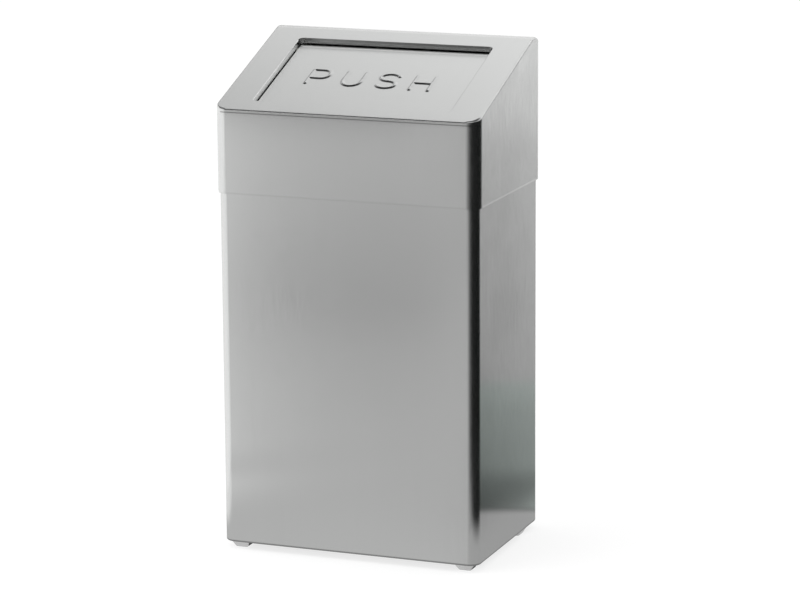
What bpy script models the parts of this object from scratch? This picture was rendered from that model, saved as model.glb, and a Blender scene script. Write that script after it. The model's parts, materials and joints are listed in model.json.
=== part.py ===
"""Push-flap waste bin of folded sheet steel, built from its separate pieces.

The frame has +Z up, the front faces -Y and the bin stands on z = 0. The body is
a wrapped shell on four feet with a base pan and a wire bag frame inside. The lid
slips over the body and carries a sprung flap in a slanted top.
"""

import math

import bmesh
import bpy
from mathutils import Matrix, Vector

COLLECTION = "waste_bin"

# Driving sizes of the whole bin, in metres
BODY_WIDTH = 0.258
BODY_DEPTH = 0.174
BODY_CORNER_RADIUS = 0.0105
SHEET = 0.001
FOOT_HEIGHT = 0.007
FOLD_HEIGHT = 0.4255
SKIRT_DEPTH = 0.0805
RIM_BELOW_FOLD = 0.0105
TOP_SLOPE = math.radians(20.2)
REAR_BEND_RADIUS = 0.020

# Clearances between separate pieces
SEAT_GAP = 0.0003
LID_CLEARANCE = 0.001
CUT_OVERRUN = 0.010
MERGE_DISTANCE = 0.000005

# Body shell
RIM_WIDTH = 0.008
RIM_LIP = 0.006
RETURN_WIDTH = 0.026
RETURN_CORNER_RADIUS = 0.004
BODY_BEND_RADIUS = 0.0018
SEAM_SLIT = 0.0004
SEAM_STRIP_WIDTH = 0.018
SEAM_STRIP_END_GAP = 0.006

# Base pan
PAN_WALL_HEIGHT = 0.014
PAN_BEND_RADIUS = 0.004
PAN_PRESS_INSET = 0.034
PAN_PRESS_SLOPE = 0.006
PAN_PRESS_HEIGHT = 0.003

# Feet
FOOT_TOP_WIDTH = 0.0190
FOOT_BOTTOM_WIDTH = 0.0120
FOOT_EDGE_RADIUS = 0.0015
FRONT_FOOT_SIDE_INSET = 0.0155
FRONT_FOOT_INSET = 0.0145
REAR_FOOT_SIDE_INSET = 0.0115
REAR_FOOT_INSET = 0.036
FOOT_PEG_RADIUS = 0.003
FOOT_PEG_STAND = 0.0015

# Bag frame and the lugs that carry it
FRAME_WIRE_RADIUS = 0.0025
FRAME_RIM_GAP = 0.0015
FRAME_CORNER_RADIUS = 0.018
FRAME_DROP = 0.022
FRAME_ENDS_GAP = 0.002
SLEEVE_LENGTH = 0.030
SLEEVE_WALL = 0.0008
LUG_LENGTH = 0.014
LUG_THICKNESS = 0.0015
LUG_LEG_HEIGHT = 0.012
LUG_LIP_HEIGHT = 0.004
LUG_FROM_FRONT = 0.042
LUG_INNER_BEND = 0.0006

# Lid shell and its window
FOLD_RADIUS = 0.0025
WINDOW_SIDE_MARGIN = 0.033
WINDOW_FRONT_RUN = 0.0185
WINDOW_REAR_MARGIN = 0.0452
WINDOW_CORNER_RADIUS = 0.004
WINDOW_BEND_RADIUS = 0.0012
WINDOW_FLANGE = 0.006

# Seats inside the lid that rest on the body's rim
LID_SEAT_END_GAP = 0.029
LID_SEAT_LEG = 0.012
LID_SEAT_WIDTH = 0.011
LID_SEAT_THICKNESS = 0.0015
LID_SEAT_INNER_BEND = 0.0006

# Flap
FLAP_RECESS = 0.0055
FLAP_SIDE_GAP = 0.0010
FLAP_REAR_GAP = 0.0025
FLAP_FRONT_GAP = 0.0015
FLAP_RETURN = 0.007
FLAP_BEND_RADIUS = 0.0014
FLAP_CORNER_RADIUS = 0.0014
PIVOT_FROM_REAR = 0.007
PIVOT_BELOW_FLAP = 0.006

# Ears and bushes of the flap
EAR_THICKNESS = 0.0015
EAR_RADIUS = 0.005
EAR_FRONT_REACH = 0.022
EAR_TAPER = math.radians(25)
BUSH_WALL = 0.0009
BUSH_FLANGE_RADIUS = 0.0049
BUSH_FLANGE_THICKNESS = 0.0012
BUSH_INNER_STAND = 0.001

# Hinge rod, its brackets and clips
ROD_RADIUS = 0.002
ROD_END_STAND = 0.0018
ROD_END_CHAMFER = 0.0005
BRACKET_THICKNESS = 0.0015
BRACKET_SIDE_GAP = 0.0012
BRACKET_LENGTH = 0.018
BRACKET_FOOT = 0.014
BRACKET_DROP = 0.0165
BRACKET_INNER_BEND = 0.0006
CLIP_RADIUS = 0.0048
CLIP_THICKNESS = 0.001
CLIP_CROWN = 0.0012

# Torsion springs
SPRING_WIRE_RADIUS = 0.0006
SPRING_COIL_RADIUS = 0.0033
SPRING_PITCH = 0.0018
SPRING_TURNS = 6
SPRING_POINTS_PER_TURN = 10
SPRING_EAR_GAP = 0.003
SPRING_FRONT_LEG = 0.030
SPRING_LEG_STRAIGHT = 0.005
SPRING_REAR_LEG = 0.0135
SPRING_LEG_BEND = 0.002

# Stop strip and rubber buffers at the flap's front edge
STOP_SIDE_GAP = 0.0266
STOP_FRONT_RUN = 0.010
STOP_OVERLAP = 0.014
STOP_THICKNESS = 0.0015
STOP_EDGE_RADIUS = 0.0004
BUFFER_RADIUS = 0.003
BUFFER_FROM_END = 0.020
BUFFER_RUN = 0.014
BUFFER_CROWN = 0.0008

# Sizes worked out from the ones above
BODY_HALF_X = BODY_WIDTH / 2
BODY_HALF_Y = BODY_DEPTH / 2
LID_HALF_X = BODY_HALF_X + LID_CLEARANCE + SHEET
LID_HALF_Y = BODY_HALF_Y + LID_CLEARANCE + SHEET
LID_CORNER_RADIUS = BODY_CORNER_RADIUS + LID_CLEARANCE + SHEET
SKIRT_HEIGHT = FOLD_HEIGHT - SKIRT_DEPTH
RIM_HEIGHT = FOLD_HEIGHT - RIM_BELOW_FOLD
FRONT_FEET = (BODY_HALF_X - FRONT_FOOT_SIDE_INSET, FRONT_FOOT_INSET - BODY_HALF_Y)
REAR_FEET = (BODY_HALF_X - REAR_FOOT_SIDE_INSET, BODY_HALF_Y - REAR_FOOT_INSET)
WINDOW_HALF_X = LID_HALF_X - WINDOW_SIDE_MARGIN
WINDOW_REAR_RUN = (2 * LID_HALF_Y - WINDOW_REAR_MARGIN) / math.cos(TOP_SLOPE)
FLAP_HALF_X = WINDOW_HALF_X - FLAP_SIDE_GAP
FLAP_REAR_RUN = WINDOW_REAR_RUN - FLAP_REAR_GAP
FLAP_FRONT_RUN = WINDOW_FRONT_RUN + FLAP_FRONT_GAP
PIVOT_RUN = FLAP_REAR_RUN - PIVOT_FROM_REAR
PIVOT_DEPTH = FLAP_RECESS + PIVOT_BELOW_FLAP
FLAP_TOP_Z = PIVOT_BELOW_FLAP
FLAP_UNDER_Z = PIVOT_BELOW_FLAP - SHEET
BORE_RADIUS = ROD_RADIUS + SEAT_GAP
BUSH_RADIUS = BORE_RADIUS + BUSH_WALL
EAR_HOLE_RADIUS = BUSH_RADIUS + SEAT_GAP
EAR_OUTER_X = FLAP_HALF_X - SHEET - SEAT_GAP
BRACKET_X = WINDOW_HALF_X + SHEET + BRACKET_SIDE_GAP
STOP_HALF_X = FLAP_HALF_X - STOP_SIDE_GAP
FRAME_HALF_X = BODY_HALF_X - RIM_WIDTH - FRAME_RIM_GAP - FRAME_WIRE_RADIUS
FRAME_HALF_Y = BODY_HALF_Y - RIM_WIDTH - FRAME_RIM_GAP - FRAME_WIRE_RADIUS
FRAME_HEIGHT = RIM_HEIGHT - FRAME_DROP
LUG_TOP = FRAME_HEIGHT - FRAME_WIRE_RADIUS - SEAT_GAP

# Facets of round shapes, and the least angles of a shading edge and of a bend
CORNER_STEPS = 6
BEND_STEPS = 3
REAR_BEND_STEPS = 10
ROUND_STEPS = 24
SHADING_ANGLE = math.radians(35)
BEND_ANGLE = math.radians(38)

STEEL = ("brushed_steel", (0.60, 0.60, 0.60), 0.32, 1.0)
STEEL_INNER = ("inner_steel", (0.48, 0.48, 0.49), 0.42, 1.0)
ZINC = ("zinc_plated_steel", (0.55, 0.56, 0.58), 0.35, 1.0)
SPRING_STEEL = ("spring_steel", (0.30, 0.30, 0.31), 0.38, 1.0)
FOOT_PLASTIC = ("foot_plastic", (0.42, 0.42, 0.41), 0.45, 0.0)
NYLON = ("bush_nylon", (0.80, 0.79, 0.75), 0.45, 0.0)
RUBBER = ("buffer_rubber", (0.03, 0.03, 0.03), 0.80, 0.0)


def clear_scene():
    """Remove what the scene holds and return the collections for parts and cutters."""
    for obj in list(bpy.data.objects):
        bpy.data.objects.remove(obj, do_unlink=True)
    collections = []
    for name in (COLLECTION, COLLECTION + "_cutters"):
        collection = bpy.data.collections.get(name) or bpy.data.collections.new(name)
        if name not in bpy.context.scene.collection.children:
            bpy.context.scene.collection.children.link(collection)
        collections.append(collection)
    return collections


def material(finish):
    """Return the Principled material for a finish, making it once."""
    name, colour, roughness, metallic = finish
    found = bpy.data.materials.get(name)
    if found:
        return found
    made = bpy.data.materials.new(name)
    made.use_nodes = True
    shader = made.node_tree.nodes["Principled BSDF"]
    shader.inputs["Base Color"].default_value = (*colour, 1.0)
    shader.inputs["Roughness"].default_value = roughness
    shader.inputs["Metallic"].default_value = metallic
    return made


def place(obj, finish, collection, location=(0, 0, 0), rotation=(0, 0, 0), parent=None):
    """Link an object, give it its finish and put it in place under its parent."""
    collection.objects.link(obj)
    if finish:
        obj.data.materials.append(material(finish))
    obj.parent = parent
    obj.location = location
    obj.rotation_euler = rotation
    return obj


def empty(name, collection, location=(0, 0, 0), rotation=(0, 0, 0), parent=None):
    """Add an empty that carries the pieces of one moving body or one plane."""
    return place(bpy.data.objects.new(name, None), None, collection, location, rotation, parent)


def from_bmesh(name, bm, smooth=False):
    """Turn a bmesh into an object with faces pointing out."""
    mesh = bpy.data.meshes.new(name)
    bmesh.ops.recalc_face_normals(bm, faces=bm.faces)
    bm.to_mesh(mesh)
    bm.free()
    if smooth:
        mesh.shade_smooth()
        mesh.set_sharp_from_angle(angle=SHADING_ANGLE)
    return bpy.data.objects.new(name, mesh)


def solidify(obj, thickness):
    """Give an open surface its wall, on the inner side."""
    wall = obj.modifiers.new("wall", "SOLIDIFY")
    wall.thickness = thickness
    wall.offset = -1
    wall.use_even_offset = True


def bevel(obj, width, segments=BEND_STEPS, by_weight=False):
    """Round an object's sharp or weighted edges."""
    rounding = obj.modifiers.new("bend", "BEVEL")
    rounding.width = width
    rounding.segments = segments
    rounding.limit_method = "WEIGHT" if by_weight else "ANGLE"
    rounding.angle_limit = BEND_ANGLE
    rounding.use_clamp_overlap = False


def boolean(obj, cutter, operation="DIFFERENCE"):
    """Cut an object with a wire-drawn cutter."""
    cutter.hide_render = True
    cutter.display_type = "WIRE"
    step = obj.modifiers.new("cut_" + cutter.name, "BOOLEAN")
    step.operation = operation
    step.solver = "EXACT"
    step.object = cutter


def rounded_outline(half_x, half_y, radius, steps=CORNER_STEPS):
    """Return the points of a rectangle with round corners, anticlockwise from the right side."""
    points = []
    for quarter, (sign_x, sign_y) in enumerate(((1, 1), (-1, 1), (-1, -1), (1, -1))):
        centre = Vector((sign_x * (half_x - radius), sign_y * (half_y - radius)))
        for step in range(steps + 1):
            angle = (quarter + step / steps) * math.pi / 2
            points.append(centre + radius * Vector((math.cos(angle), math.sin(angle))))
    return points


def skin(bm, rings):
    """Skin faces over rings of points and return each ring's vertices."""
    rows = [[bm.verts.new(point) for point in ring] for ring in rings]
    for lower, upper in zip(rows, rows[1:]):
        for index, vert in enumerate(lower):
            following = (index + 1) % len(lower)
            bm.faces.new((vert, lower[following], upper[following], upper[index]))
    return rows


def loft(name, rings, cap_last=False):
    """Skin an open surface over rings of (half_x, half_y, radius, z)."""
    bm = bmesh.new()
    rows = skin(
        bm,
        [
            [(*point, z) for point in rounded_outline(half_x, half_y, radius)]
            for half_x, half_y, radius, z in rings
        ],
    )
    if cap_last:
        bm.faces.new(rows[-1])
    return from_bmesh(name, bm)


def box(name, low, high, edge_radius=0, steps=2):
    """Make a box between two corners, its edges rounded if a radius is given."""
    bm = bmesh.new()
    bmesh.ops.create_cube(bm, size=1)
    size = Vector(high) - Vector(low)
    middle = (Vector(high) + Vector(low)) / 2
    bmesh.ops.transform(bm, matrix=Matrix.Translation(middle) @ Matrix.Diagonal((*size, 1)), verts=bm.verts)
    if edge_radius:
        bmesh.ops.bevel(bm, geom=bm.edges[:], offset=edge_radius, segments=steps, profile=0.5, affect="EDGES")
    return from_bmesh(name, bm)


def cylinder(name, radius, low, high, chamfer=0):
    """Make a round bar between two heights on its own Z axis."""
    bm = bmesh.new()
    bmesh.ops.create_cone(
        bm, cap_ends=True, segments=ROUND_STEPS, radius1=radius, radius2=radius, depth=high - low
    )
    bmesh.ops.translate(bm, verts=bm.verts, vec=(0, 0, (high + low) / 2))
    if chamfer:
        ends = [edge for edge in bm.edges if abs(edge.verts[0].co.z - edge.verts[1].co.z) < chamfer]
        bmesh.ops.bevel(bm, geom=ends, offset=chamfer, segments=1, affect="EDGES")
    return from_bmesh(name, bm, smooth=True)


def turned(name, profile, collection, finish, **placing):
    """Turn a profile of (radius, height), drawn down its outer side, about Z."""
    mesh = bpy.data.meshes.new(name)
    closed = [(index, (index + 1) % len(profile)) for index in range(len(profile))]
    mesh.from_pydata([(radius, 0, height) for radius, height in profile], closed, [])
    obj = place(bpy.data.objects.new(name, mesh), finish, collection, **placing)
    screw = obj.modifiers.new("turn", "SCREW")
    screw.steps = ROUND_STEPS
    screw.render_steps = ROUND_STEPS
    screw.use_merge_vertices = True
    screw.merge_threshold = MERGE_DISTANCE
    screw.use_normal_calculate = False
    return obj


def bent_strip(name, path, half_length, thickness, inner_bend):
    """Bend a sheet strip: a path of (x, z) drawn out along Y, with its wall on the path's left."""
    bm = bmesh.new()
    verts = [bm.verts.new((x, -half_length, z)) for x, z in path]
    edges = [bm.edges.new(pair) for pair in zip(verts, verts[1:])]
    grown = bmesh.ops.extrude_edge_only(bm, edges=edges)["geom"]
    far = [vert for vert in grown if isinstance(vert, bmesh.types.BMVert)]
    bmesh.ops.translate(bm, verts=far, vec=(0, 2 * half_length, 0))
    bm.normal_update()
    start, end = verts[0].co, verts[1].co
    rightward = Vector((end.z - start.z, 0, start.x - end.x))
    if edges[0].link_faces[0].normal.dot(rightward) < 0:
        bmesh.ops.reverse_faces(bm, faces=bm.faces)
    mesh = bpy.data.meshes.new(name)
    bm.to_mesh(mesh)
    bm.free()
    obj = bpy.data.objects.new(name, mesh)
    bevel(obj, inner_bend + thickness)
    solidify(obj, thickness)
    return obj


def wire(name, points, radius, resolution, cyclic=False):
    """Make a wire through points as a poly spline with a round section."""
    curve = bpy.data.curves.new(name, "CURVE")
    curve.dimensions = "3D"
    curve.bevel_depth = radius
    curve.bevel_resolution = resolution
    curve.use_fill_caps = True
    spline = curve.splines.new("POLY")
    spline.points.add(len(points) - 1)
    for point, place_at in zip(spline.points, points):
        point.co = (*place_at, 1)
    spline.use_cyclic_u = cyclic
    return bpy.data.objects.new(name, curve)


def lid_top_height(y):
    """Return the height of the lid's outer top surface at a depth y, over the skirt's edge."""
    centre_y = LID_HALF_Y - REAR_BEND_RADIUS
    rise = (centre_y + LID_HALF_Y) * math.tan(TOP_SLOPE) - REAR_BEND_RADIUS / math.cos(TOP_SLOPE)
    centre_z = FOLD_HEIGHT - SKIRT_HEIGHT + rise
    if y <= centre_y - REAR_BEND_RADIUS * math.sin(TOP_SLOPE):
        return FOLD_HEIGHT - SKIRT_HEIGHT + (y + LID_HALF_Y) * math.tan(TOP_SLOPE)
    across = min(y - centre_y, REAR_BEND_RADIUS)
    return centre_z + math.sqrt(REAR_BEND_RADIUS**2 - across**2)


def lid_top_normal(y):
    """Return the outward normal of the lid's top surface at a depth y."""
    lean = (y - LID_HALF_Y + REAR_BEND_RADIUS) / REAR_BEND_RADIUS
    lean = max(-math.sin(TOP_SLOPE), min(lean, 1))
    return Vector((0, lean, math.sqrt(1 - lean**2)))


def lid_outline():
    """Return the lid's outline with further points on its sides where the rear bend starts."""
    straight = rounded_outline(LID_HALF_X, LID_HALF_Y, LID_CORNER_RADIUS, REAR_BEND_STEPS)
    centre_y = LID_HALF_Y - REAR_BEND_RADIUS
    bend_start = centre_y - REAR_BEND_RADIUS * math.sin(TOP_SLOPE)
    corner_start = LID_HALF_Y - LID_CORNER_RADIUS
    stations = [
        bend_start + (corner_start - bend_start) * step / REAR_BEND_STEPS for step in range(REAR_BEND_STEPS)
    ]
    right = [Vector((LID_HALF_X, y)) for y in stations]
    left = [Vector((-LID_HALF_X, y)) for y in reversed(stations)]
    half = 2 * (REAR_BEND_STEPS + 1)
    return straight[:half] + left + straight[half:] + right


def lid_fold(point):
    """Return the lid's fold at a point of its outline, from the wall round the bend to the top."""
    inner_x = LID_HALF_X - LID_CORNER_RADIUS
    inner_y = LID_HALF_Y - LID_CORNER_RADIUS
    nearest = Vector((max(-inner_x, min(point.x, inner_x)), max(-inner_y, min(point.y, inner_y))))
    outward = (point - nearest).normalized().to_3d()
    upward = lid_top_normal(point.y)
    turn = outward.angle(upward)
    reach = FOLD_RADIUS * math.tan(turn / 2)
    corner = Vector((*point, lid_top_height(point.y)))
    wall_end = corner - Vector((0, 0, reach))
    top_start = corner + reach * (upward * math.cos(turn) - outward).normalized()
    top_start.z = lid_top_height(top_start.y)
    bend = []
    for step in range(BEND_STEPS + 1):
        share = step / BEND_STEPS
        weights = ((1 - share) ** 2, 2 * share * (1 - share) * math.cos(turn / 2), share**2)
        mixed = weights[0] * wall_end + weights[1] * corner + weights[2] * top_start
        bend.append(mixed / sum(weights))
    return bend


def window_rings():
    """Return the rings of the window's edge, from the top round the bend down the flange."""
    to_lid = Matrix.Translation((0, -LID_HALF_Y, FOLD_HEIGHT - SKIRT_HEIGHT))
    to_lid = to_lid @ Matrix.Rotation(TOP_SLOPE, 4, "X")
    half_run = (WINDOW_REAR_RUN - WINDOW_FRONT_RUN) / 2
    middle_run = (WINDOW_REAR_RUN + WINDOW_FRONT_RUN) / 2
    sections = []
    for step in range(BEND_STEPS + 1):
        angle = math.pi / 2 * step / BEND_STEPS
        grown = WINDOW_BEND_RADIUS * (1 - math.sin(angle))
        sections.append((grown, WINDOW_BEND_RADIUS * (1 - math.cos(angle))))
    sections.append((0, WINDOW_FLANGE))
    rings = []
    for grown, depth in sections:
        outline = rounded_outline(WINDOW_HALF_X + grown, half_run + grown, WINDOW_CORNER_RADIUS + grown)
        rings.append([to_lid @ Vector((x, y + middle_run, -depth)) for x, y in outline])
    return rings


def make_lid_shell(parts, lid):
    """Make the lid's sheet: skirt, fold, slanted top with its rear bend, and the flanged window."""
    outline = lid_outline()
    folds = [lid_fold(point) for point in outline]
    bm = bmesh.new()
    wall = skin(bm, [[(*point, 0) for point in outline]] + [list(ring) for ring in zip(*folds)])
    window = skin(bm, window_rings())
    order = sorted(range(len(outline)), key=lambda index: outline[index].y)
    left = [wall[-1][index] for index in order if outline[index].x < 0]
    right = [wall[-1][index] for index in order if outline[index].x > 0]
    bend_start = REAR_BEND_STEPS + 1
    for index in range(bend_start, len(left) - 1):
        bm.faces.new((left[index], right[index], right[index + 1], left[index + 1]))
    rim = set(left[: bend_start + 1] + right[: bend_start + 1] + window[0])
    flat_edges = [edge for edge in bm.edges if all(vert in rim for vert in edge.verts)]
    bmesh.ops.triangle_fill(bm, use_beauty=True, edges=flat_edges)
    bmesh.ops.remove_doubles(bm, verts=bm.verts, dist=MERGE_DISTANCE)
    shell = from_bmesh("lid_shell", bm, smooth=True)
    place(shell, STEEL, parts, parent=lid)
    solidify(shell, SHEET)


def make_body(parts, cutters):
    """Make the wrapped shell, its seam strip, the base pan and the four feet."""
    body = empty("bin_body", parts)
    return_half_x = BODY_HALF_X - RETURN_WIDTH
    return_half_y = BODY_HALF_Y - RETURN_WIDTH
    rim = (BODY_HALF_X - RIM_WIDTH, BODY_HALF_Y - RIM_WIDTH, BODY_CORNER_RADIUS - RIM_WIDTH)
    shell = loft(
        "body_shell",
        [
            (return_half_x, return_half_y, RETURN_CORNER_RADIUS, FOOT_HEIGHT),
            (BODY_HALF_X, BODY_HALF_Y, BODY_CORNER_RADIUS, FOOT_HEIGHT),
            (BODY_HALF_X, BODY_HALF_Y, BODY_CORNER_RADIUS, RIM_HEIGHT),
            (*rim, RIM_HEIGHT),
            (*rim, RIM_HEIGHT - RIM_LIP),
        ],
    )
    place(shell, STEEL, parts, parent=body)
    bevel(shell, BODY_BEND_RADIUS)
    solidify(shell, SHEET)

    slit = box(
        "seam_cutter",
        (-SEAM_SLIT / 2, return_half_y - CUT_OVERRUN, 0),
        (SEAM_SLIT / 2, BODY_HALF_Y + CUT_OVERRUN, RIM_HEIGHT + CUT_OVERRUN),
    )
    place(slit, None, cutters, parent=body)
    boolean(shell, slit)

    strip_rear = BODY_HALF_Y - SHEET - SEAT_GAP
    strip_low = FOOT_HEIGHT + SHEET + PAN_WALL_HEIGHT + SEAM_STRIP_END_GAP
    strip_high = RIM_HEIGHT - RIM_LIP - SEAM_STRIP_END_GAP
    strip = box(
        "seam_strip",
        (-SEAM_STRIP_WIDTH / 2, strip_rear - SHEET, strip_low),
        (SEAM_STRIP_WIDTH / 2, strip_rear, strip_high),
    )
    place(strip, STEEL_INNER, parts, parent=body)

    pan_inset = SHEET + SEAT_GAP
    pan_half_x = BODY_HALF_X - pan_inset
    pan_half_y = BODY_HALF_Y - pan_inset
    pan_radius = BODY_CORNER_RADIUS - pan_inset
    pan_low = FOOT_HEIGHT + SHEET + SEAT_GAP
    floor_half_x = pan_half_x - PAN_BEND_RADIUS
    floor_half_y = pan_half_y - PAN_BEND_RADIUS
    press_half_x = BODY_HALF_X - PAN_PRESS_INSET
    press_half_y = BODY_HALF_Y - PAN_PRESS_INSET
    pan = loft(
        "base_pan",
        [
            (pan_half_x, pan_half_y, pan_radius, pan_low + PAN_WALL_HEIGHT),
            (pan_half_x, pan_half_y, pan_radius, pan_low + PAN_BEND_RADIUS),
            (floor_half_x, floor_half_y, pan_radius - PAN_BEND_RADIUS, pan_low),
            (press_half_x, press_half_y, RETURN_CORNER_RADIUS, pan_low),
            (
                press_half_x - PAN_PRESS_SLOPE,
                press_half_y - PAN_PRESS_SLOPE,
                RETURN_CORNER_RADIUS,
                pan_low + PAN_PRESS_HEIGHT,
            ),
        ],
        cap_last=True,
    )
    point_down(pan)
    place(pan, STEEL_INNER, parts, parent=body)
    solidify(pan, SHEET)

    for row, (foot_x, foot_y) in (("front", FRONT_FEET), ("rear", REAR_FEET)):
        for side, sign_x in (("left", -1), ("right", 1)):
            spot = Vector((sign_x * foot_x, foot_y, 0))
            foot = make_foot(f"foot_{row}_{side}")
            place(foot, FOOT_PLASTIC, parts, location=spot, parent=body)
            peg_top = pan_low + SHEET + FOOT_PEG_STAND
            peg = cylinder(f"peg_{row}_{side}", FOOT_PEG_RADIUS, FOOT_HEIGHT / 2, peg_top)
            place(peg, None, cutters, location=spot, parent=body)
            boolean(foot, peg, "UNION")
            hole = cylinder(f"peg_hole_{row}_{side}", FOOT_PEG_RADIUS + SEAT_GAP, 0, pan_low + CUT_OVERRUN)
            place(hole, None, cutters, location=spot, parent=body)
            boolean(shell, hole)
            boolean(pan, hole)
    return body


def point_down(obj):
    """Turn an open tray's faces so that its wall grows to the inner, upper side."""
    bm = bmesh.new()
    bm.from_mesh(obj.data)
    bmesh.ops.recalc_face_normals(bm, faces=bm.faces)
    floor = max(bm.faces, key=lambda face: face.calc_area())
    if floor.normal.z > 0:
        bmesh.ops.reverse_faces(bm, faces=bm.faces)
    bm.to_mesh(obj.data)
    bm.free()


def make_foot(name):
    """Make a tapered square foot, rounded all over but for its top."""
    bm = bmesh.new()
    taper = FOOT_TOP_WIDTH / FOOT_BOTTOM_WIDTH
    height = FOOT_HEIGHT - SEAT_GAP
    bmesh.ops.create_cube(bm, size=1)
    block = Matrix.Translation((0, 0, height / 2)) @ Matrix.Diagonal(
        (FOOT_BOTTOM_WIDTH, FOOT_BOTTOM_WIDTH, height, 1)
    )
    bmesh.ops.transform(bm, matrix=block, verts=bm.verts)
    upper = [vert for vert in bm.verts if vert.co.z > height / 2]
    bmesh.ops.scale(bm, vec=(taper, taper, 1), verts=upper)
    edges = [edge for edge in bm.edges if min(vert.co.z for vert in edge.verts) < height / 2]
    bmesh.ops.bevel(bm, geom=edges, offset=FOOT_EDGE_RADIUS, segments=BEND_STEPS, profile=0.5, affect="EDGES")
    return from_bmesh(name, bm, smooth=True)


def make_bag_frame(parts, body):
    """Make the wire loop that holds the bag, its crimped sleeve and the lugs that carry it."""
    carrier = empty("bag_frame_body", parts, location=(0, 0, FRAME_HEIGHT), parent=body)
    outline = rounded_outline(FRAME_HALF_X, FRAME_HALF_Y, FRAME_CORNER_RADIUS)
    half = CORNER_STEPS + 1
    rear_start = Vector((-FRAME_ENDS_GAP / 2, FRAME_HALF_Y))
    rear_end = Vector((FRAME_ENDS_GAP / 2, FRAME_HALF_Y))
    route = [rear_start] + outline[half:] + outline[:half] + [rear_end]
    loop = wire("bag_frame_wire", [(*point, 0) for point in route], FRAME_WIRE_RADIUS, 2)
    place(loop, ZINC, parts, parent=carrier)

    inner = FRAME_WIRE_RADIUS + SEAT_GAP
    outer = inner + SLEEVE_WALL
    end = SLEEVE_LENGTH / 2
    turned(
        "bag_frame_sleeve",
        [(outer, end), (outer, -end), (inner, -end), (inner, end)],
        parts,
        ZINC,
        location=(0, FRAME_HALF_Y, 0),
        rotation=(0, math.radians(90), 0),
        parent=carrier,
    )

    wall_x = BODY_HALF_X - SHEET - SEAT_GAP
    lip_x = FRAME_HALF_X - FRAME_WIRE_RADIUS - SEAT_GAP - LUG_THICKNESS
    shelf_z = LUG_TOP - LUG_THICKNESS
    path = [
        (lip_x, LUG_TOP + LUG_LIP_HEIGHT),
        (lip_x, shelf_z),
        (wall_x, shelf_z),
        (wall_x, shelf_z + LUG_LEG_HEIGHT),
    ]
    for side, sign_x in (("left", -1), ("right", 1)):
        for row, sign_y in (("front", -1), ("rear", 1)):
            lug = bent_strip(f"frame_lug_{row}_{side}", path, LUG_LENGTH / 2, LUG_THICKNESS, LUG_INNER_BEND)
            turn = 0 if sign_x > 0 else math.radians(180)
            spot = (0, sign_y * (BODY_HALF_Y - LUG_FROM_FRONT), 0)
            place(lug, ZINC, parts, location=spot, rotation=(0, 0, turn), parent=body)


def make_lid_seats(parts, lid):
    """Make the two angle strips inside the lid that rest on the body's rim."""
    wall_x = LID_HALF_X - SHEET - SEAT_GAP
    low = RIM_HEIGHT + SEAT_GAP - SKIRT_HEIGHT
    half_length = LID_HALF_Y - LID_SEAT_END_GAP
    path = [(wall_x - LID_SEAT_WIDTH, low), (wall_x, low), (wall_x, low + LID_SEAT_LEG)]
    for side, turn in (("left", math.radians(180)), ("right", 0)):
        seat = bent_strip(f"lid_seat_{side}", path, half_length, LID_SEAT_THICKNESS, LID_SEAT_INNER_BEND)
        place(seat, STEEL_INNER, parts, rotation=(0, 0, turn), parent=lid)


def make_hinge(parts, cutters, axis):
    """Make the hinge rod with its brackets, clips and torsion springs, about the flap's axis."""
    top_z = PIVOT_DEPTH - SHEET - SEAT_GAP
    low_z = top_z - BRACKET_DROP
    path = [(BRACKET_X + BRACKET_FOOT, top_z), (BRACKET_X, top_z), (BRACKET_X, low_z)]
    rod_end = BRACKET_X + BRACKET_THICKNESS + SEAT_GAP + CLIP_THICKNESS + ROD_END_STAND
    rod = cylinder("hinge_rod", ROD_RADIUS, -rod_end, rod_end, ROD_END_CHAMFER)
    place(rod, ZINC, parts, rotation=(0, math.radians(90), 0), parent=axis)
    bore = cylinder("rod_hole", BORE_RADIUS, -rod_end - CUT_OVERRUN, rod_end + CUT_OVERRUN)
    place(bore, None, cutters, rotation=(0, math.radians(90), 0), parent=axis)
    for side, sign in (("left", -1), ("right", 1)):
        bracket = bent_strip(
            f"hinge_bracket_{side}", path, BRACKET_LENGTH / 2, BRACKET_THICKNESS, BRACKET_INNER_BEND
        )
        turn = 0 if sign > 0 else math.radians(180)
        place(bracket, STEEL_INNER, parts, rotation=(0, 0, turn), parent=axis)
        boolean(bracket, bore)
        clip_face = BRACKET_X + BRACKET_THICKNESS + SEAT_GAP
        turned(
            f"rod_clip_{side}",
            [
                (BORE_RADIUS, CLIP_CROWN),
                (BORE_RADIUS + CLIP_THICKNESS, CLIP_CROWN),
                (CLIP_RADIUS, CLIP_THICKNESS),
                (CLIP_RADIUS, 0),
                (BORE_RADIUS, 0),
            ],
            parts,
            SPRING_STEEL,
            location=(sign * clip_face, 0, 0),
            rotation=(0, sign * math.radians(90), 0),
            parent=axis,
        )
        points = spring_points(sign)
        spring = wire(f"torsion_spring_{side}", points, SPRING_WIRE_RADIUS, 1)
        place(spring, SPRING_STEEL, parts, parent=axis)


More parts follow.
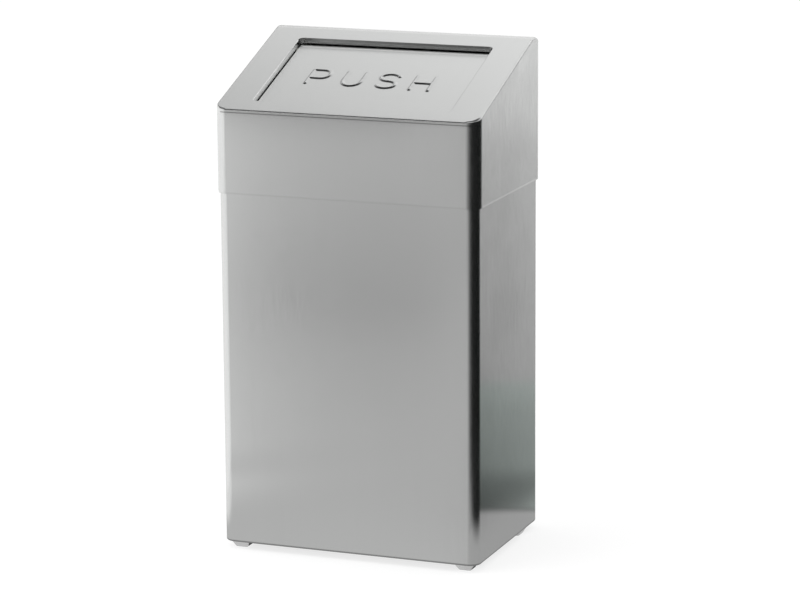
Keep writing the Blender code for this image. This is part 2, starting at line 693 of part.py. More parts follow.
def spring_points(sign):
    """Return a torsion spring's wire: rear leg, coil about X, then the leg under the flap."""
    outer_x = EAR_OUTER_X - EAR_THICKNESS - BUSH_INNER_STAND - SPRING_EAR_GAP
    lid_under_z = PIVOT_DEPTH - SHEET - SEAT_GAP - SPRING_WIRE_RADIUS
    flap_under_z = FLAP_UNDER_Z - SEAT_GAP - SPRING_WIRE_RADIUS
    low_z = -SPRING_COIL_RADIUS
    path = [
        (outer_x, SPRING_REAR_LEG, lid_under_z),
        (outer_x, SPRING_REAR_LEG, low_z + SPRING_LEG_BEND),
        (outer_x, SPRING_REAR_LEG - SPRING_LEG_BEND, low_z),
    ]
    count = SPRING_TURNS * SPRING_POINTS_PER_TURN
    coil = []
    for step in range(count + 1):
        angle = -math.pi / 2 - 2 * math.pi * step / SPRING_POINTS_PER_TURN
        x = outer_x - SPRING_PITCH * step / SPRING_POINTS_PER_TURN
        coil.append((x, SPRING_COIL_RADIUS * math.cos(angle), SPRING_COIL_RADIUS * math.sin(angle)))
    path += coil
    inner_x = coil[-1][0]
    path += [
        (inner_x, -SPRING_LEG_STRAIGHT, low_z),
        (inner_x, -SPRING_FRONT_LEG + SPRING_LEG_BEND, flap_under_z),
        (inner_x, -SPRING_FRONT_LEG, flap_under_z),
    ]
    return [(sign * x, y, z) for x, y, z in path]


def least_gap(points, wire_radius):
    """Return a coil's least gap to itself, measured between points more than half a turn apart."""
    apart = SPRING_POINTS_PER_TURN // 2 + 1
    vectors = [Vector(point) for point in points]
    nearest = min(
        (a - b).length for index, a in enumerate(vectors) for b in vectors[index + apart :]
    )
    return nearest - 2 * wire_radius


def make_flap(parts, cutters, pivot):
    """Make the flap's panel with its ears, bushes, stop strip and buffers, about its axis."""
    front_y = FLAP_FRONT_RUN - PIVOT_RUN
    rear_y = PIVOT_FROM_REAR
    bm = bmesh.new()
    bmesh.ops.create_cube(bm, size=1)
    size = Matrix.Diagonal((2 * FLAP_HALF_X, rear_y - front_y, FLAP_RETURN, 1))
    middle = Matrix.Translation((0, (rear_y + front_y) / 2, FLAP_TOP_Z - FLAP_RETURN / 2))
    bmesh.ops.transform(bm, matrix=middle @ size, verts=bm.verts)
    opened = [face for face in bm.faces if round(face.normal.z) == -1 or round(face.normal.y) == -1]
    bmesh.ops.delete(bm, geom=opened, context="FACES")
    weights = bm.edges.layers.float.new("bevel_weight_edge")
    for edge in bm.edges:
        if len(edge.link_faces) == 2:
            upright = abs(edge.verts[0].co.z - edge.verts[1].co.z) > FLAP_RETURN / 2
            edge[weights] = 1 if upright else FLAP_BEND_RADIUS / FLAP_CORNER_RADIUS
    panel = from_bmesh("flap_panel", bm, smooth=True)
    place(panel, STEEL, parts, parent=pivot)
    bevel(panel, FLAP_CORNER_RADIUS, by_weight=True)
    solidify(panel, SHEET)
    notch = cylinder("bush_notch", EAR_HOLE_RADIUS, -FLAP_HALF_X - CUT_OVERRUN, FLAP_HALF_X + CUT_OVERRUN)
    place(notch, None, cutters, rotation=(0, math.radians(90), 0), parent=pivot)
    boolean(panel, notch)

    for side, sign in (("left", -1), ("right", 1)):
        ear = make_ear(f"flap_ear_{side}")
        middle_x = sign * (EAR_OUTER_X - EAR_THICKNESS / 2)
        turn = (math.radians(90), 0, math.radians(90))
        place(ear, STEEL_INNER, parts, location=(middle_x, 0, 0), rotation=turn, parent=pivot)
        flange_face = FLAP_HALF_X + SEAT_GAP
        inner_face = EAR_OUTER_X - EAR_THICKNESS - BUSH_INNER_STAND
        sleeve = flange_face - inner_face
        turned(
            f"hinge_bush_{side}",
            [
                (BORE_RADIUS, BUSH_FLANGE_THICKNESS),
                (BUSH_FLANGE_RADIUS, BUSH_FLANGE_THICKNESS),
                (BUSH_FLANGE_RADIUS, 0),
                (BUSH_RADIUS, 0),
                (BUSH_RADIUS, -sleeve),
                (BORE_RADIUS, -sleeve),
            ],
            parts,
            NYLON,
            location=(sign * flange_face, 0, 0),
            rotation=(0, sign * math.radians(90), 0),
            parent=pivot,
        )

    strip_top = FLAP_UNDER_Z - SEAT_GAP
    stop = box(
        "flap_stop_strip",
        (-STOP_HALF_X, STOP_FRONT_RUN - PIVOT_RUN, strip_top - STOP_THICKNESS),
        (STOP_HALF_X, front_y + STOP_OVERLAP, strip_top),
        STOP_EDGE_RADIUS,
        1,
    )
    place(stop, STEEL_INNER, parts, parent=pivot)
    buffer_low = strip_top + SEAT_GAP
    buffer_high = PIVOT_DEPTH - SHEET - SEAT_GAP
    for side, sign in (("left", -1), ("right", 1)):
        turned(
            f"flap_buffer_{side}",
            [
                (0, buffer_high),
                (BUFFER_RADIUS - BUFFER_CROWN, buffer_high),
                (BUFFER_RADIUS, buffer_high - BUFFER_CROWN),
                (BUFFER_RADIUS, buffer_low),
                (0, buffer_low),
            ],
            parts,
            RUBBER,
            location=(sign * (STOP_HALF_X - BUFFER_FROM_END), BUFFER_RUN - PIVOT_RUN, 0),
            parent=pivot,
        )


def make_ear(name):
    """Make a hinge ear: a flat outline in its own XY plane, drawn out by its thickness."""
    top = FLAP_UNDER_Z - (FLAP_BEND_RADIUS - SHEET)
    steps = ROUND_STEPS // 2
    arc = [math.pi + EAR_TAPER + (math.pi - EAR_TAPER) * step / steps for step in range(steps + 1)]
    outer = [(-EAR_FRONT_REACH, top)]
    outer += [(EAR_RADIUS * math.cos(angle), EAR_RADIUS * math.sin(angle)) for angle in arc]
    outer += [(EAR_RADIUS, top)]
    hole = [
        (
            EAR_HOLE_RADIUS * math.cos(2 * math.pi * step / ROUND_STEPS),
            EAR_HOLE_RADIUS * math.sin(2 * math.pi * step / ROUND_STEPS),
        )
        for step in range(ROUND_STEPS)
    ]
    curve = bpy.data.curves.new(name, "CURVE")
    curve.dimensions = "2D"
    curve.fill_mode = "BOTH"
    curve.extrude = EAR_THICKNESS / 2
    for outline in (outer, hole):
        spline = curve.splines.new("POLY")
        spline.points.add(len(outline) - 1)
        for point, (x, y) in zip(spline.points, outline):
            point.co = (x, y, 0, 1)
        spline.use_cyclic_u = True
    return bpy.data.objects.new(name, curve)


def main():
    """Build the whole bin."""
    parts, cutters = clear_scene()
    body = make_body(parts, cutters)
    make_bag_frame(parts, body)
    lid = empty("lid_body", parts, location=(0, 0, SKIRT_HEIGHT), parent=body)
    lid_plane = empty(
        "lid_plane",
        parts,
        location=(0, -LID_HALF_Y, FOLD_HEIGHT - SKIRT_HEIGHT),
        rotation=(TOP_SLOPE, 0, 0),
        parent=lid,
    )
    make_lid_shell(parts, lid)
    make_lid_seats(parts, lid)
    axis = empty("hinge_axis", parts, location=(0, PIVOT_RUN, -PIVOT_DEPTH), parent=lid_plane)
    make_hinge(parts, cutters, axis)
    pivot = empty("flap_pivot", parts, location=(0, PIVOT_RUN, -PIVOT_DEPTH), parent=lid_plane)
    make_flap(parts, cutters, pivot)
    bpy.context.view_layer.update()
    print("flap axis at", [round(value, 6) for value in pivot.matrix_world.translation])
    print("spring's least gap to itself", round(least_gap(spring_points(1), SPRING_WIRE_RADIUS), 6))


main()
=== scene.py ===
"""Looks of the push-flap waste bin: brushed steel, pressed lettering, springs, spot welds and studio.

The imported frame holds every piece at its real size. This script gives each piece its finish,
stands smooth skins and wound springs in for the plain solids, and sets up camera and light.
"""

import json
import logging
import math
from dataclasses import dataclass, field
from enum import Enum

import bmesh
import bpy
import numpy as np
from bmesh.types import BMEdge, BMesh
from bpy.types import Material, Mesh, Node, NodeSocket, NodeTree, Object
from mathutils import Matrix, Vector


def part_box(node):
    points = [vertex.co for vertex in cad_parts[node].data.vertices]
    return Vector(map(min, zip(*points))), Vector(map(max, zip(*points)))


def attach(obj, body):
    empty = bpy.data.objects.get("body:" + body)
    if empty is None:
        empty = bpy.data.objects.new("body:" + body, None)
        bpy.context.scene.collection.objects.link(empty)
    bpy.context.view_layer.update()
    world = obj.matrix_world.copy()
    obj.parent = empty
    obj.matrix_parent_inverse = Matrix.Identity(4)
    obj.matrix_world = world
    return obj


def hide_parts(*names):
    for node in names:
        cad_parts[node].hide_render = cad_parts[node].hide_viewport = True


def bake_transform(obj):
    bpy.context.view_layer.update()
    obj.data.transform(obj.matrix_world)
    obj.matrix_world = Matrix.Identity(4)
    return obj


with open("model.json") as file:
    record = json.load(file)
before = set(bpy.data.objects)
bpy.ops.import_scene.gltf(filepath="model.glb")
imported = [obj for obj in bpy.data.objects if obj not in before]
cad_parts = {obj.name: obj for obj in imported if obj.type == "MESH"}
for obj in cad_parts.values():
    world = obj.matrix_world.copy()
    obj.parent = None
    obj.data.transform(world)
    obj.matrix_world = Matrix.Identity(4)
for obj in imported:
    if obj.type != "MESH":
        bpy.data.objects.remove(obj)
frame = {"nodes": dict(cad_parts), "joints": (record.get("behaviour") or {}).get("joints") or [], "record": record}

LOG = logging.getLogger("waste_bin")

TOP_SLOPE = math.radians(20.2)
SHEET = 0.001
HAIR = SHEET / 20
SHARP_ANGLE = math.radians(35)
WIRE_SHARP_ANGLE = math.radians(50)
SAME_FLAT = 0.99999
LEVEL_FACE = 0.999
MERGE_DISTANCE = 0.000002
ARC_STEPS = 24
NEARLY_ALONG = 0.99
RIM_LEAN = 0.3
FOLD_DEPTH = 0.003
FOLD_SIDEWAYS = 0.05
NOISE_SPAN = (0.3, 0.7)

Socket = NodeSocket
Number = float | Socket
Pair = tuple[float, float]
Triple = tuple[float, float, float]


class GrainRun(Enum):
    """Where the brushing runs on a piece of sheet."""

    UPRIGHT = "upright"
    SLANTED = "slanted"
    FOLDED = "folded"


class NodeSheet:
    """A node tree with short calls for adding and joining nodes."""

    def __init__(self, tree: NodeTree) -> None:
        """Keep the tree that the calls work on."""
        self.tree = tree

    def add(self, kind: str, inputs: dict[str | int, object] | None = None, **settings: object) -> Node:
        """Add a node and set it up.

        Args:
            kind: Blender's name for the node's type.
            inputs: values or sockets for the node's inputs, by name or place.
            settings: the node's own settings.

        Returns:
            The new node.
        """
        node = self.tree.nodes.new(kind)
        for name, value in settings.items():
            setattr(node, name, value)
        for key, value in (inputs or {}).items():
            self.feed(node.inputs[key], value)
        return node

    def feed(self, target: Socket, value: object) -> None:
        """Link a socket to a target, or set the target to a plain value.

        Args:
            target: the input socket.
            value: an output socket, a number or a vector.
        """
        if isinstance(value, NodeSocket):
            self.tree.links.new(value, target)
        else:
            target.default_value = value

    def math(self, operation: str, first: Number, second: Number = 0.0, clamp: bool = False) -> Socket:
        """Add a math node and return its result."""
        node = self.add("ShaderNodeMath", {0: first, 1: second}, operation=operation, use_clamp=clamp)
        return node.outputs[0]

    def vector_math(self, operation: str, first: object, second: object) -> Socket:
        """Add a vector math node and return its vector."""
        node = self.add("ShaderNodeVectorMath", {0: first, 1: second}, operation=operation)
        return node.outputs["Vector"]

    def noise(self, vector: Socket, detail: float, roughness: float = 0.5, scale: float = 1.0) -> Socket:
        """Add a noise over coordinates that are already scaled and return its value."""
        settings = {"Vector": vector, "Scale": scale, "Detail": detail, "Roughness": roughness}
        return self.add("ShaderNodeTexNoise", settings).outputs["Fac"]

    def map_range(self, value: Socket, source: Pair, target: Pair) -> Socket:
        """Map a value smoothly from the source range to the target range and return it."""
        inputs = {0: value, 1: source[0], 2: source[1], 3: target[0], 4: target[1]}
        return self.add("ShaderNodeMapRange", inputs, interpolation_type="SMOOTHSTEP").outputs[0]

    def sized(self, place: Socket, size: float) -> Socket:
        """Scale coordinates for a pattern of the given size and return them."""
        return self.vector_math("MULTIPLY", place, (1 / size,) * 3)

    def split(self, vector: Socket) -> bpy.types.bpy_prop_collection:
        """Split a vector and return its X, Y and Z sockets."""
        return self.add("ShaderNodeSeparateXYZ", {0: vector}).outputs

    def mix(self, share: Number, first: Number, second: Number) -> Socket:
        """Mix two numbers by a share and return the result."""
        return self.add("ShaderNodeMix", {0: share, 2: first, 3: second}, data_type="FLOAT").outputs[0]

    def tones(self, share: Socket, colour: Triple, spread: float) -> Socket:
        """Vary a colour from a little darker to a little lighter and return it.

        Args:
            share: 0 for the darkest tone and 1 for the lightest.
            colour: the colour in the middle.
            spread: how much darker and lighter it gets.

        Returns:
            The varied colour's socket.
        """
        blend = self.add("ShaderNodeMix", {0: share}, data_type="RGBA")
        blend.inputs[6].default_value = (*(part * (1 - spread) for part in colour), 1.0)
        blend.inputs[7].default_value = (*(part * (1 + spread) for part in colour), 1.0)
        return blend.outputs[2]

    def surface(self, shader: Socket) -> None:
        """Send a shader to the material's surface."""
        self.feed(self.tree.nodes["Material Output"].inputs["Surface"], shader)


def new_material(name: str) -> tuple[Material, NodeSheet, Node]:
    """Start a material.

    Args:
        name: the material's name.

    Returns:
        The material, its node sheet and its Principled shader.
    """
    material = bpy.data.materials.new(name)
    material.use_nodes = True
    return material, NodeSheet(material.node_tree), material.node_tree.nodes["Principled BSDF"]


@dataclass(frozen=True)
class BrushedSteel:
    """Fine brushed stainless sheet: fine grain, broad streaks and faint clouds.

    Light and shade are painted into the colour. A band along the sheet's lower edge is darkened as
    painted shade on the walls and lightened as a painted highlight on the lid's skirt. On the folded lid
    the front's crease and the strip just below it are darkened as painted shade, the lid's sides are a
    little lighter as painted light, the lid's front is a little lighter as painted light and a little
    darker along its lower edge as painted shade, and the window's side flanges, which stand within
    rim_reach, are lightened as a painted highlight.
    """

    colour: Triple = (0.64, 0.645, 0.64)
    roughness: float = 0.20
    anisotropy: float = 1.0
    grain_width: float = 0.00035
    grain_length: float = 0.012
    grain_depth: float = 0.0000012
    streak_width: float = 0.004
    streak_length: float = 0.35
    cloud_size: float = 0.09
    grain_share: float = 0.025
    streak_share: float = 0.004
    cloud_share: float = 0.010
    # The fields from here to the flanges' reach set painted light and shade: the lower-edge band, the lid's sides,
    # the crease and the strip below it, the lid's front and the window's side flanges.
    edge_level: float = 0.007
    edge_reach: float = 0.0026
    edge_painted_gain: float = 0.45
    side_painted_gain: float = 1.0
    crease_level: float = 0.4221
    crease_reach: float = 0.0009
    crease_painted_shade: float = 0.42
    crease_tail: float = 0.004
    tail_painted_shade: float = 0.93
    front_painted_gain: float = 1.02
    front_edge_painted_shade: float = 0.94
    rim_reach: float = 0.11
    rim_painted_highlight: float = 1.20
    side_facing: float = 0.7
    front_facing: float = 0.9
    top_facing: float = 0.5

    def material(self, name: str, run: GrainRun) -> Material:
        """Build the finish for one run of the grain.

        Args:
            name: the material's name.
            run: where the grain runs on the piece.

        Returns:
            The material.
        """
        material, sheet, shader = new_material(name)
        place = sheet.add("ShaderNodeTexCoord").outputs["Object"]
        normal = sheet.add("ShaderNodeNewGeometry").outputs["Normal"]
        given = (sheet, place, normal, run)
        grain = sheet.noise(self.stretched(*given, self.grain_width, self.grain_length), 3.0)
        streak = sheet.noise(self.stretched(*given, self.streak_width, self.streak_length), 2.0)
        cloud = sheet.noise(sheet.sized(place, self.cloud_size), 1.0)
        rough = sheet.map_range(grain, NOISE_SPAN, (-self.grain_share, self.grain_share))
        clouds = sheet.map_range(cloud, NOISE_SPAN, (-self.cloud_share, self.cloud_share))
        rough = sheet.math("ADD", rough, clouds)
        sheet.feed(shader.inputs["Roughness"], sheet.math("ADD", rough, self.roughness))
        tone = sheet.map_range(streak, NOISE_SPAN, (0.0, 1.0))
        steel = sheet.tones(tone, self.colour, self.streak_share)
        # Painted light and shade scale the streaked colour.
        painted_light_gain = self.painted_light_gain(*given)
        toned = sheet.add("ShaderNodeVectorMath", {0: steel, 3: painted_light_gain}, operation="SCALE")
        sheet.feed(shader.inputs["Base Color"], toned.outputs["Vector"])
        bump = sheet.add("ShaderNodeBump", {"Height": grain, "Distance": self.grain_depth, "Strength": 1.0})
        sheet.feed(shader.inputs["Normal"], bump.outputs["Normal"])
        across = sheet.vector_math("CROSS_PRODUCT", normal, (0.0, 0.0, 1.0))
        sheet.feed(shader.inputs["Tangent"], across)
        shader.inputs["Metallic"].default_value = 1.0
        shader.inputs["Anisotropic"].default_value = self.anisotropy
        return material

    def painted_light_gain(self, sheet: NodeSheet, place: Socket, normal: Socket, run: GrainRun) -> Socket:
        """Find the painted light and shade at each place, as a factor on the colour.

        Args:
            sheet: the material's node sheet.
            place: the object coordinates.
            normal: the surface's normal.
            run: where the grain runs.

        Returns:
            The factor's socket.
        """
        places = sheet.split(place)
        level = places["Z"]
        # Painted shade on the walls, or a painted highlight on the lid's skirt, in a band along the lower edge;
        # the lid's sides a little lighter as painted light.
        reach = (self.edge_level + self.edge_reach / 2, self.edge_level + self.edge_reach)
        side = sheet.map_range(level, reach, (self.edge_painted_gain * self.side_painted_gain, self.side_painted_gain))
        if run is not GrainRun.FOLDED:
            return side
        facing = sheet.split(normal)
        on_side = sheet.math("GREATER_THAN", sheet.math("ABSOLUTE", facing["X"]), self.side_facing)
        on_front = sheet.math("LESS_THAN", facing["Y"], -self.front_facing)
        # Painted shade along the front's crease and on the strip just below it.
        away = sheet.math("ABSOLUTE", sheet.math("SUBTRACT", level, self.crease_level))
        crease = sheet.map_range(away, (0.0, self.crease_reach), (self.crease_painted_shade, 1.0))
        tail = (self.crease_level - self.crease_tail, self.crease_level)
        crease = sheet.math("MULTIPLY", crease, sheet.map_range(level, tail, (1.0, self.tail_painted_shade)))
        # The lid's front a little lighter as painted light, and a little darker along its lower edge as painted
        # shade.
        foot = sheet.map_range(level, reach, (self.front_edge_painted_shade * self.front_painted_gain, self.front_painted_gain))
        front = sheet.mix(on_front, 1.0, sheet.math("MULTIPLY", crease, foot))
        # Painted highlight on the window's side flanges.
        on_rim = sheet.math("LESS_THAN", sheet.math("ABSOLUTE", places["X"]), self.rim_reach)
        return sheet.mix(on_side, front, sheet.mix(on_rim, side, self.rim_painted_highlight))

    def stretched(
        self, sheet: NodeSheet, place: Socket, normal: Socket, run: GrainRun, width: float, length: float
    ) -> Socket:
        """Stretch coordinates along the grain.

        Args:
            sheet: the material's node sheet.
            place: the object coordinates.
            normal: the surface's normal.
            run: where the grain runs.
            width: the size of the pattern across the grain.
            length: its size along the grain.

        Returns:
            The stretched coordinates.
        """
        upright = sheet.vector_math("MULTIPLY", place, (1 / width, 1 / width, 1 / length))
        if run is GrainRun.UPRIGHT:
            return upright
        turned = sheet.add("ShaderNodeMapping", {"Vector": place, "Rotation": (-TOP_SLOPE, 0.0, 0.0)})
        slanted = sheet.vector_math("MULTIPLY", turned.outputs[0], (1 / width, 1 / length, 1 / width))
        if run is GrainRun.SLANTED:
            return slanted
        on_top = sheet.math("GREATER_THAN", sheet.split(normal)["Z"], self.top_facing)
        return sheet.add("ShaderNodeMix", {0: on_top, 4: upright, 5: slanted}, data_type="VECTOR").outputs[1]


@dataclass(frozen=True)
class PlainMetal:
    """Mill, plated or oiled metal with a faint mottle."""

    colour: Triple
    roughness: float
    mottle_size: float = 0.006
    mottle_share: float = 0.08

    def material(self, name: str) -> Material:
        """Build the finish.

        Args:
            name: the material's name.

        Returns:
            The material.
        """
        material, sheet, shader = new_material(name)
        place = sheet.add("ShaderNodeTexCoord").outputs["Object"]
        mottle = sheet.noise(sheet.sized(place, self.mottle_size), 4.0, 0.6)
        rough = sheet.map_range(mottle, NOISE_SPAN, (-self.mottle_share, self.mottle_share))
        sheet.feed(shader.inputs["Roughness"], sheet.math("ADD", rough, self.roughness))
        sheet.feed(shader.inputs["Base Color"], sheet.tones(mottle, self.colour, self.mottle_share))
        shader.inputs["Metallic"].default_value = 1.0
        return material


@dataclass(frozen=True)
class MouldedPlastic:
    """Moulded plastic or rubber with a fine skin texture."""

    colour: Triple
    roughness: float
    skin_size: float = 0.0006
    skin_depth: float = 0.00001
    tone_size: float = 0.006
    tone_share: float = 0.06
    metal_share: float = 0.0

    def material(self, name: str) -> Material:
        """Build the finish.

        Args:
            name: the material's name.

        Returns:
            The material.
        """
        material, sheet, shader = new_material(name)
        place = sheet.add("ShaderNodeTexCoord").outputs["Object"]
        skin = sheet.noise(sheet.sized(place, self.skin_size), 2.0)
        tone = sheet.noise(sheet.sized(place, self.tone_size), 1.0)
        sheet.feed(shader.inputs["Base Color"], sheet.tones(tone, self.colour, self.tone_share))
        bump = sheet.add("ShaderNodeBump", {"Height": skin, "Distance": self.skin_depth})
        sheet.feed(shader.inputs["Normal"], bump.outputs["Normal"])
        shader.inputs["Roughness"].default_value = self.roughness
        shader.inputs["Metallic"].default_value = self.metal_share
        return material


# The walls darken in a band along their bottom edge as painted shade.
STEEL = BrushedSteel()
# The lid lightens in a band along its skirt's lower edge as a painted highlight, and on its sides as painted
# light.
LID_STEEL = BrushedSteel(edge_level=0.345, edge_reach=0.0022, edge_painted_gain=1.16, side_painted_gain=1.06)
FLAP_STEEL = BrushedSteel(edge_painted_gain=1.0)
INNER_STEEL = PlainMetal((0.50, 0.50, 0.51), 0.38)
ZINC = PlainMetal((0.58, 0.59, 0.61), 0.30, mottle_size=0.003)
SPRING_STEEL = PlainMetal((0.32, 0.32, 0.33), 0.34, mottle_size=0.002)
FOOT_PLASTIC = MouldedPlastic((0.76, 0.76, 0.76), 0.20, metal_share=0.85)
NYLON = MouldedPlastic((0.78, 0.77, 0.72), 0.42)
RUBBER = MouldedPlastic((0.03, 0.03, 0.03), 0.75)


def placed(name: str, data: bpy.types.ID) -> Object:
    """Link a new object to the scene.

    Args:
        name: the object's name.
        data: its mesh, lamp or camera.

    Returns:
        The object.
    """
    thing = bpy.data.objects.new(name, data)
    bpy.context.scene.collection.objects.link(thing)
    return thing


def finished_object(name: str, mesh: Mesh, material: Material) -> Object:
    """Put a finished mesh in the scene with one material.

    Args:
        name: the piece's name.
        mesh: its mesh, in place in the row frame.
        material: its finish.

    Returns:
        The new object.
    """
    mesh.materials.clear()
    mesh.materials.append(material)
    return placed(name, mesh)


def read_normals(mesh: Mesh) -> list[Vector]:
    """Return a copy of the normal at each of the mesh's corners."""
    return [corner.vector.copy() for corner in mesh.corner_normals]


def write_normals(mesh: Mesh, normals: list[Vector]) -> None:
    """Set the normal at each of the mesh's corners."""
    mesh.normals_split_custom_set([tuple(normal) for normal in normals])


def corners_in_box(mesh: Mesh, low: Vector, high: Vector) -> list[int]:
    """Find the mesh's corners in a box.

    Args:
        mesh: the mesh to look through.
        low: the lower corner of the box, in the flap's frame.
        high: its upper corner.

    Returns:
        The corners' indices.
    """
    to_flap = flap_frame().inverted()
    held = [all(a < b < c for a, b, c in zip(low, to_flap @ vert.co, high)) for vert in mesh.vertices]
    return [loop.index for loop in mesh.loops if held[loop.vertex_index]]


def set_flat_first_normals(mesh: Mesh) -> None:
    """Shade a mesh smoothly with its large flats kept flat.

    Each corner takes the mean normal of the faces round it, up to the sharp edges, and each face
    counts by the area of the whole flat that it belongs to.

    Args:
        mesh: the mesh, merged and closed.
    """
    bm = bmesh.new()
    bm.from_mesh(mesh)
    bm.faces.ensure_lookup_table()
    flat_of = [-1] * len(bm.faces)
    areas: list[float] = []
    for start in bm.faces:
        if flat_of[start.index] >= 0:
            continue
        flat_of[start.index] = len(areas)
        area, waiting = 0.0, [start]
        while waiting:
            face = waiting.pop()
            area += face.calc_area()
            for edge in face.edges:
                for other in edge.link_faces:
                    if flat_of[other.index] < 0 and other.normal.dot(start.normal) > SAME_FLAT:
                        flat_of[other.index] = len(areas)
                        waiting.append(other)
        areas.append(area)
    least = math.cos(SHARP_ANGLE)
    normals: list[Vector] = [Vector((0, 0, 1))] * len(mesh.loops)
    for vert in bm.verts:
        around = [loop.face for loop in vert.link_loops]
        for loop in vert.link_loops:
            total = Vector()
            for face in around:
                if face.normal.dot(loop.face.normal) > least:
                    total += face.normal * areas[flat_of[face.index]]
            normals[loop.index] = total.normalized() if total.length else loop.face.normal
    bm.free()
    mesh.shade_smooth()
    write_normals(mesh, normals)


def crisp_bends(mesh: Mesh, low: Vector, high: Vector, limit: float = math.radians(70)) -> None:
    """Shade the small bends in a box as crisply as pressed sheet shows them.

    Within the box a corner that leans from the slanted flat by less than the limit takes the flat's
    own normal, so the bend shows only as a thin line.

    Args:
        mesh: the mesh, already smoothly shaded.
        low: the lower corner of the box, in the flap's frame.
        high: its upper corner.
        limit: the lean at which a bend begins to show.
    """
    up = flap_frame().to_3x3().col[2]
    normals = read_normals(mesh)
    for corner in corners_in_box(mesh, low, high):
        if up.angle(normals[corner]) < limit:
            normals[corner] = up
    write_normals(mesh, normals)


def crisp_rim(mesh: Mesh, low: Vector, high: Vector) -> None:
    """Shade the window's rear edge as a tight bend.

    Within the box each corner that leans from the slanted top takes its flange's normal.

    Args:
        mesh: the lid's mesh, already smoothly shaded.
        low: the lower corner of the box, in the flap's frame.
        high: its upper corner.
    """
    basis = flap_frame().to_3x3()
    normals = read_normals(mesh)
    for corner in corners_in_box(mesh, low, high):
        normal = basis.transposed() @ normals[corner]
        if normal.z > 0 and normal.xy.length > RIM_LEAN:
            normals[corner] = basis @ Vector((normal.x, normal.y, 0)).normalized()
    write_normals(mesh, normals)


def drawn_fold(mesh: Mesh, leans: dict[Pair, float]) -> None:
    """Let the front fold turn quickly at its foot, as a bend in stiff sheet does.

    Args:
        mesh: the lid's mesh, already smoothly shaded.
        leans: new leans from the front wall in degrees, by the range of the old ones.
    """
    front = min(vert.co.y for vert in mesh.vertices)
    normals = read_normals(mesh)
    for loop in mesh.loops:
        place, normal = mesh.vertices[loop.vertex_index].co, normals[loop.index]
        if place.y > front + FOLD_DEPTH or abs(normal.x) > FOLD_SIDEWAYS or normal.y > 0:
            continue
        lean = math.degrees(math.atan2(normal.z, -normal.y))
        for (low, high), new in leans.items():
            if low < lean < high:
                turned = math.radians(new)
                normals[loop.index] = Vector((normal.x, -math.cos(turned), math.sin(turned))).normalized()
    write_normals(mesh, normals)


def merged_copy(node: str) -> Mesh:
    """Copy a node's mesh with its loose triangles joined.

    Args:
        node: the CAD node.

    Returns:
        The joined mesh.
    """
    mesh = frame["nodes"][node].data.copy()
    bm = bmesh.new()
    bm.from_mesh(mesh)
    bmesh.ops.remove_doubles(bm, verts=bm.verts, dist=MERGE_DISTANCE)
    bm.to_mesh(mesh)
    bm.free()
    return mesh


def smooth_skin(node: str, name: str, body: str, material: Material) -> Object:
    """Stand a smoothly shaded skin in for a node of the same shape.

    Args:
        node: the CAD node.
        name: the new piece's name.
        body: the body that it rides on.
        material: its finish.

    Returns:
        The new piece.
    """
    mesh = merged_copy(node)
    set_flat_first_normals(mesh)
    piece = finished_object(name, mesh, material)
    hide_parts(node)
    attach(piece, body)
    LOG.info("%s stands for %s", name, node)
    return piece


def flap_frame() -> Matrix:
    """Return the flap's own frame: X on its axis, Y up the slope and Z out of the sheet."""
    hinge = next(joint for joint in frame["joints"] if joint["name"] == "flap_push")
    return Matrix.Translation(hinge["pos_m"]) @ Matrix.Rotation(TOP_SLOPE, 4, "X")


def segment_distance(points: np.ndarray, start: Pair, end: Pair) -> np.ndarray:
    """Return each point's distance to a straight stroke's centre line.

    Args:
        points: points in the plane, one per row.
        start: the stroke's first end.
        end: its other end.

    Returns:
        The distances.
    """
    a, b = np.array(start), np.array(end)
    along = b - a
    share = np.clip((points - a) @ along / (along @ along), 0, 1)
    return np.linalg.norm(points - a - share[:, None] * along, axis=1)


def arc_distance(
    points: np.ndarray, centre: Pair, radii: Pair, start: float, sweep: float
) -> np.ndarray:
    """Return each point's distance to a round stroke's centre line.

    Args:
        points: points in the plane, one per row.
        centre: the arc's centre.
        radii: its radii along X and Y.
        start: its first angle in degrees.
        sweep: how far it turns in degrees.

    Returns:
        The distances, to a polyline fine enough for the letter's size.
    """
    angles = np.radians(start + sweep * np.arange(ARC_STEPS + 1) / ARC_STEPS)
    line = np.stack([centre[0] + radii[0] * np.cos(angles), centre[1] + radii[1] * np.sin(angles)], axis=1)
    return np.min([segment_distance(points, a, b) for a, b in zip(line, line[1:])], axis=0)


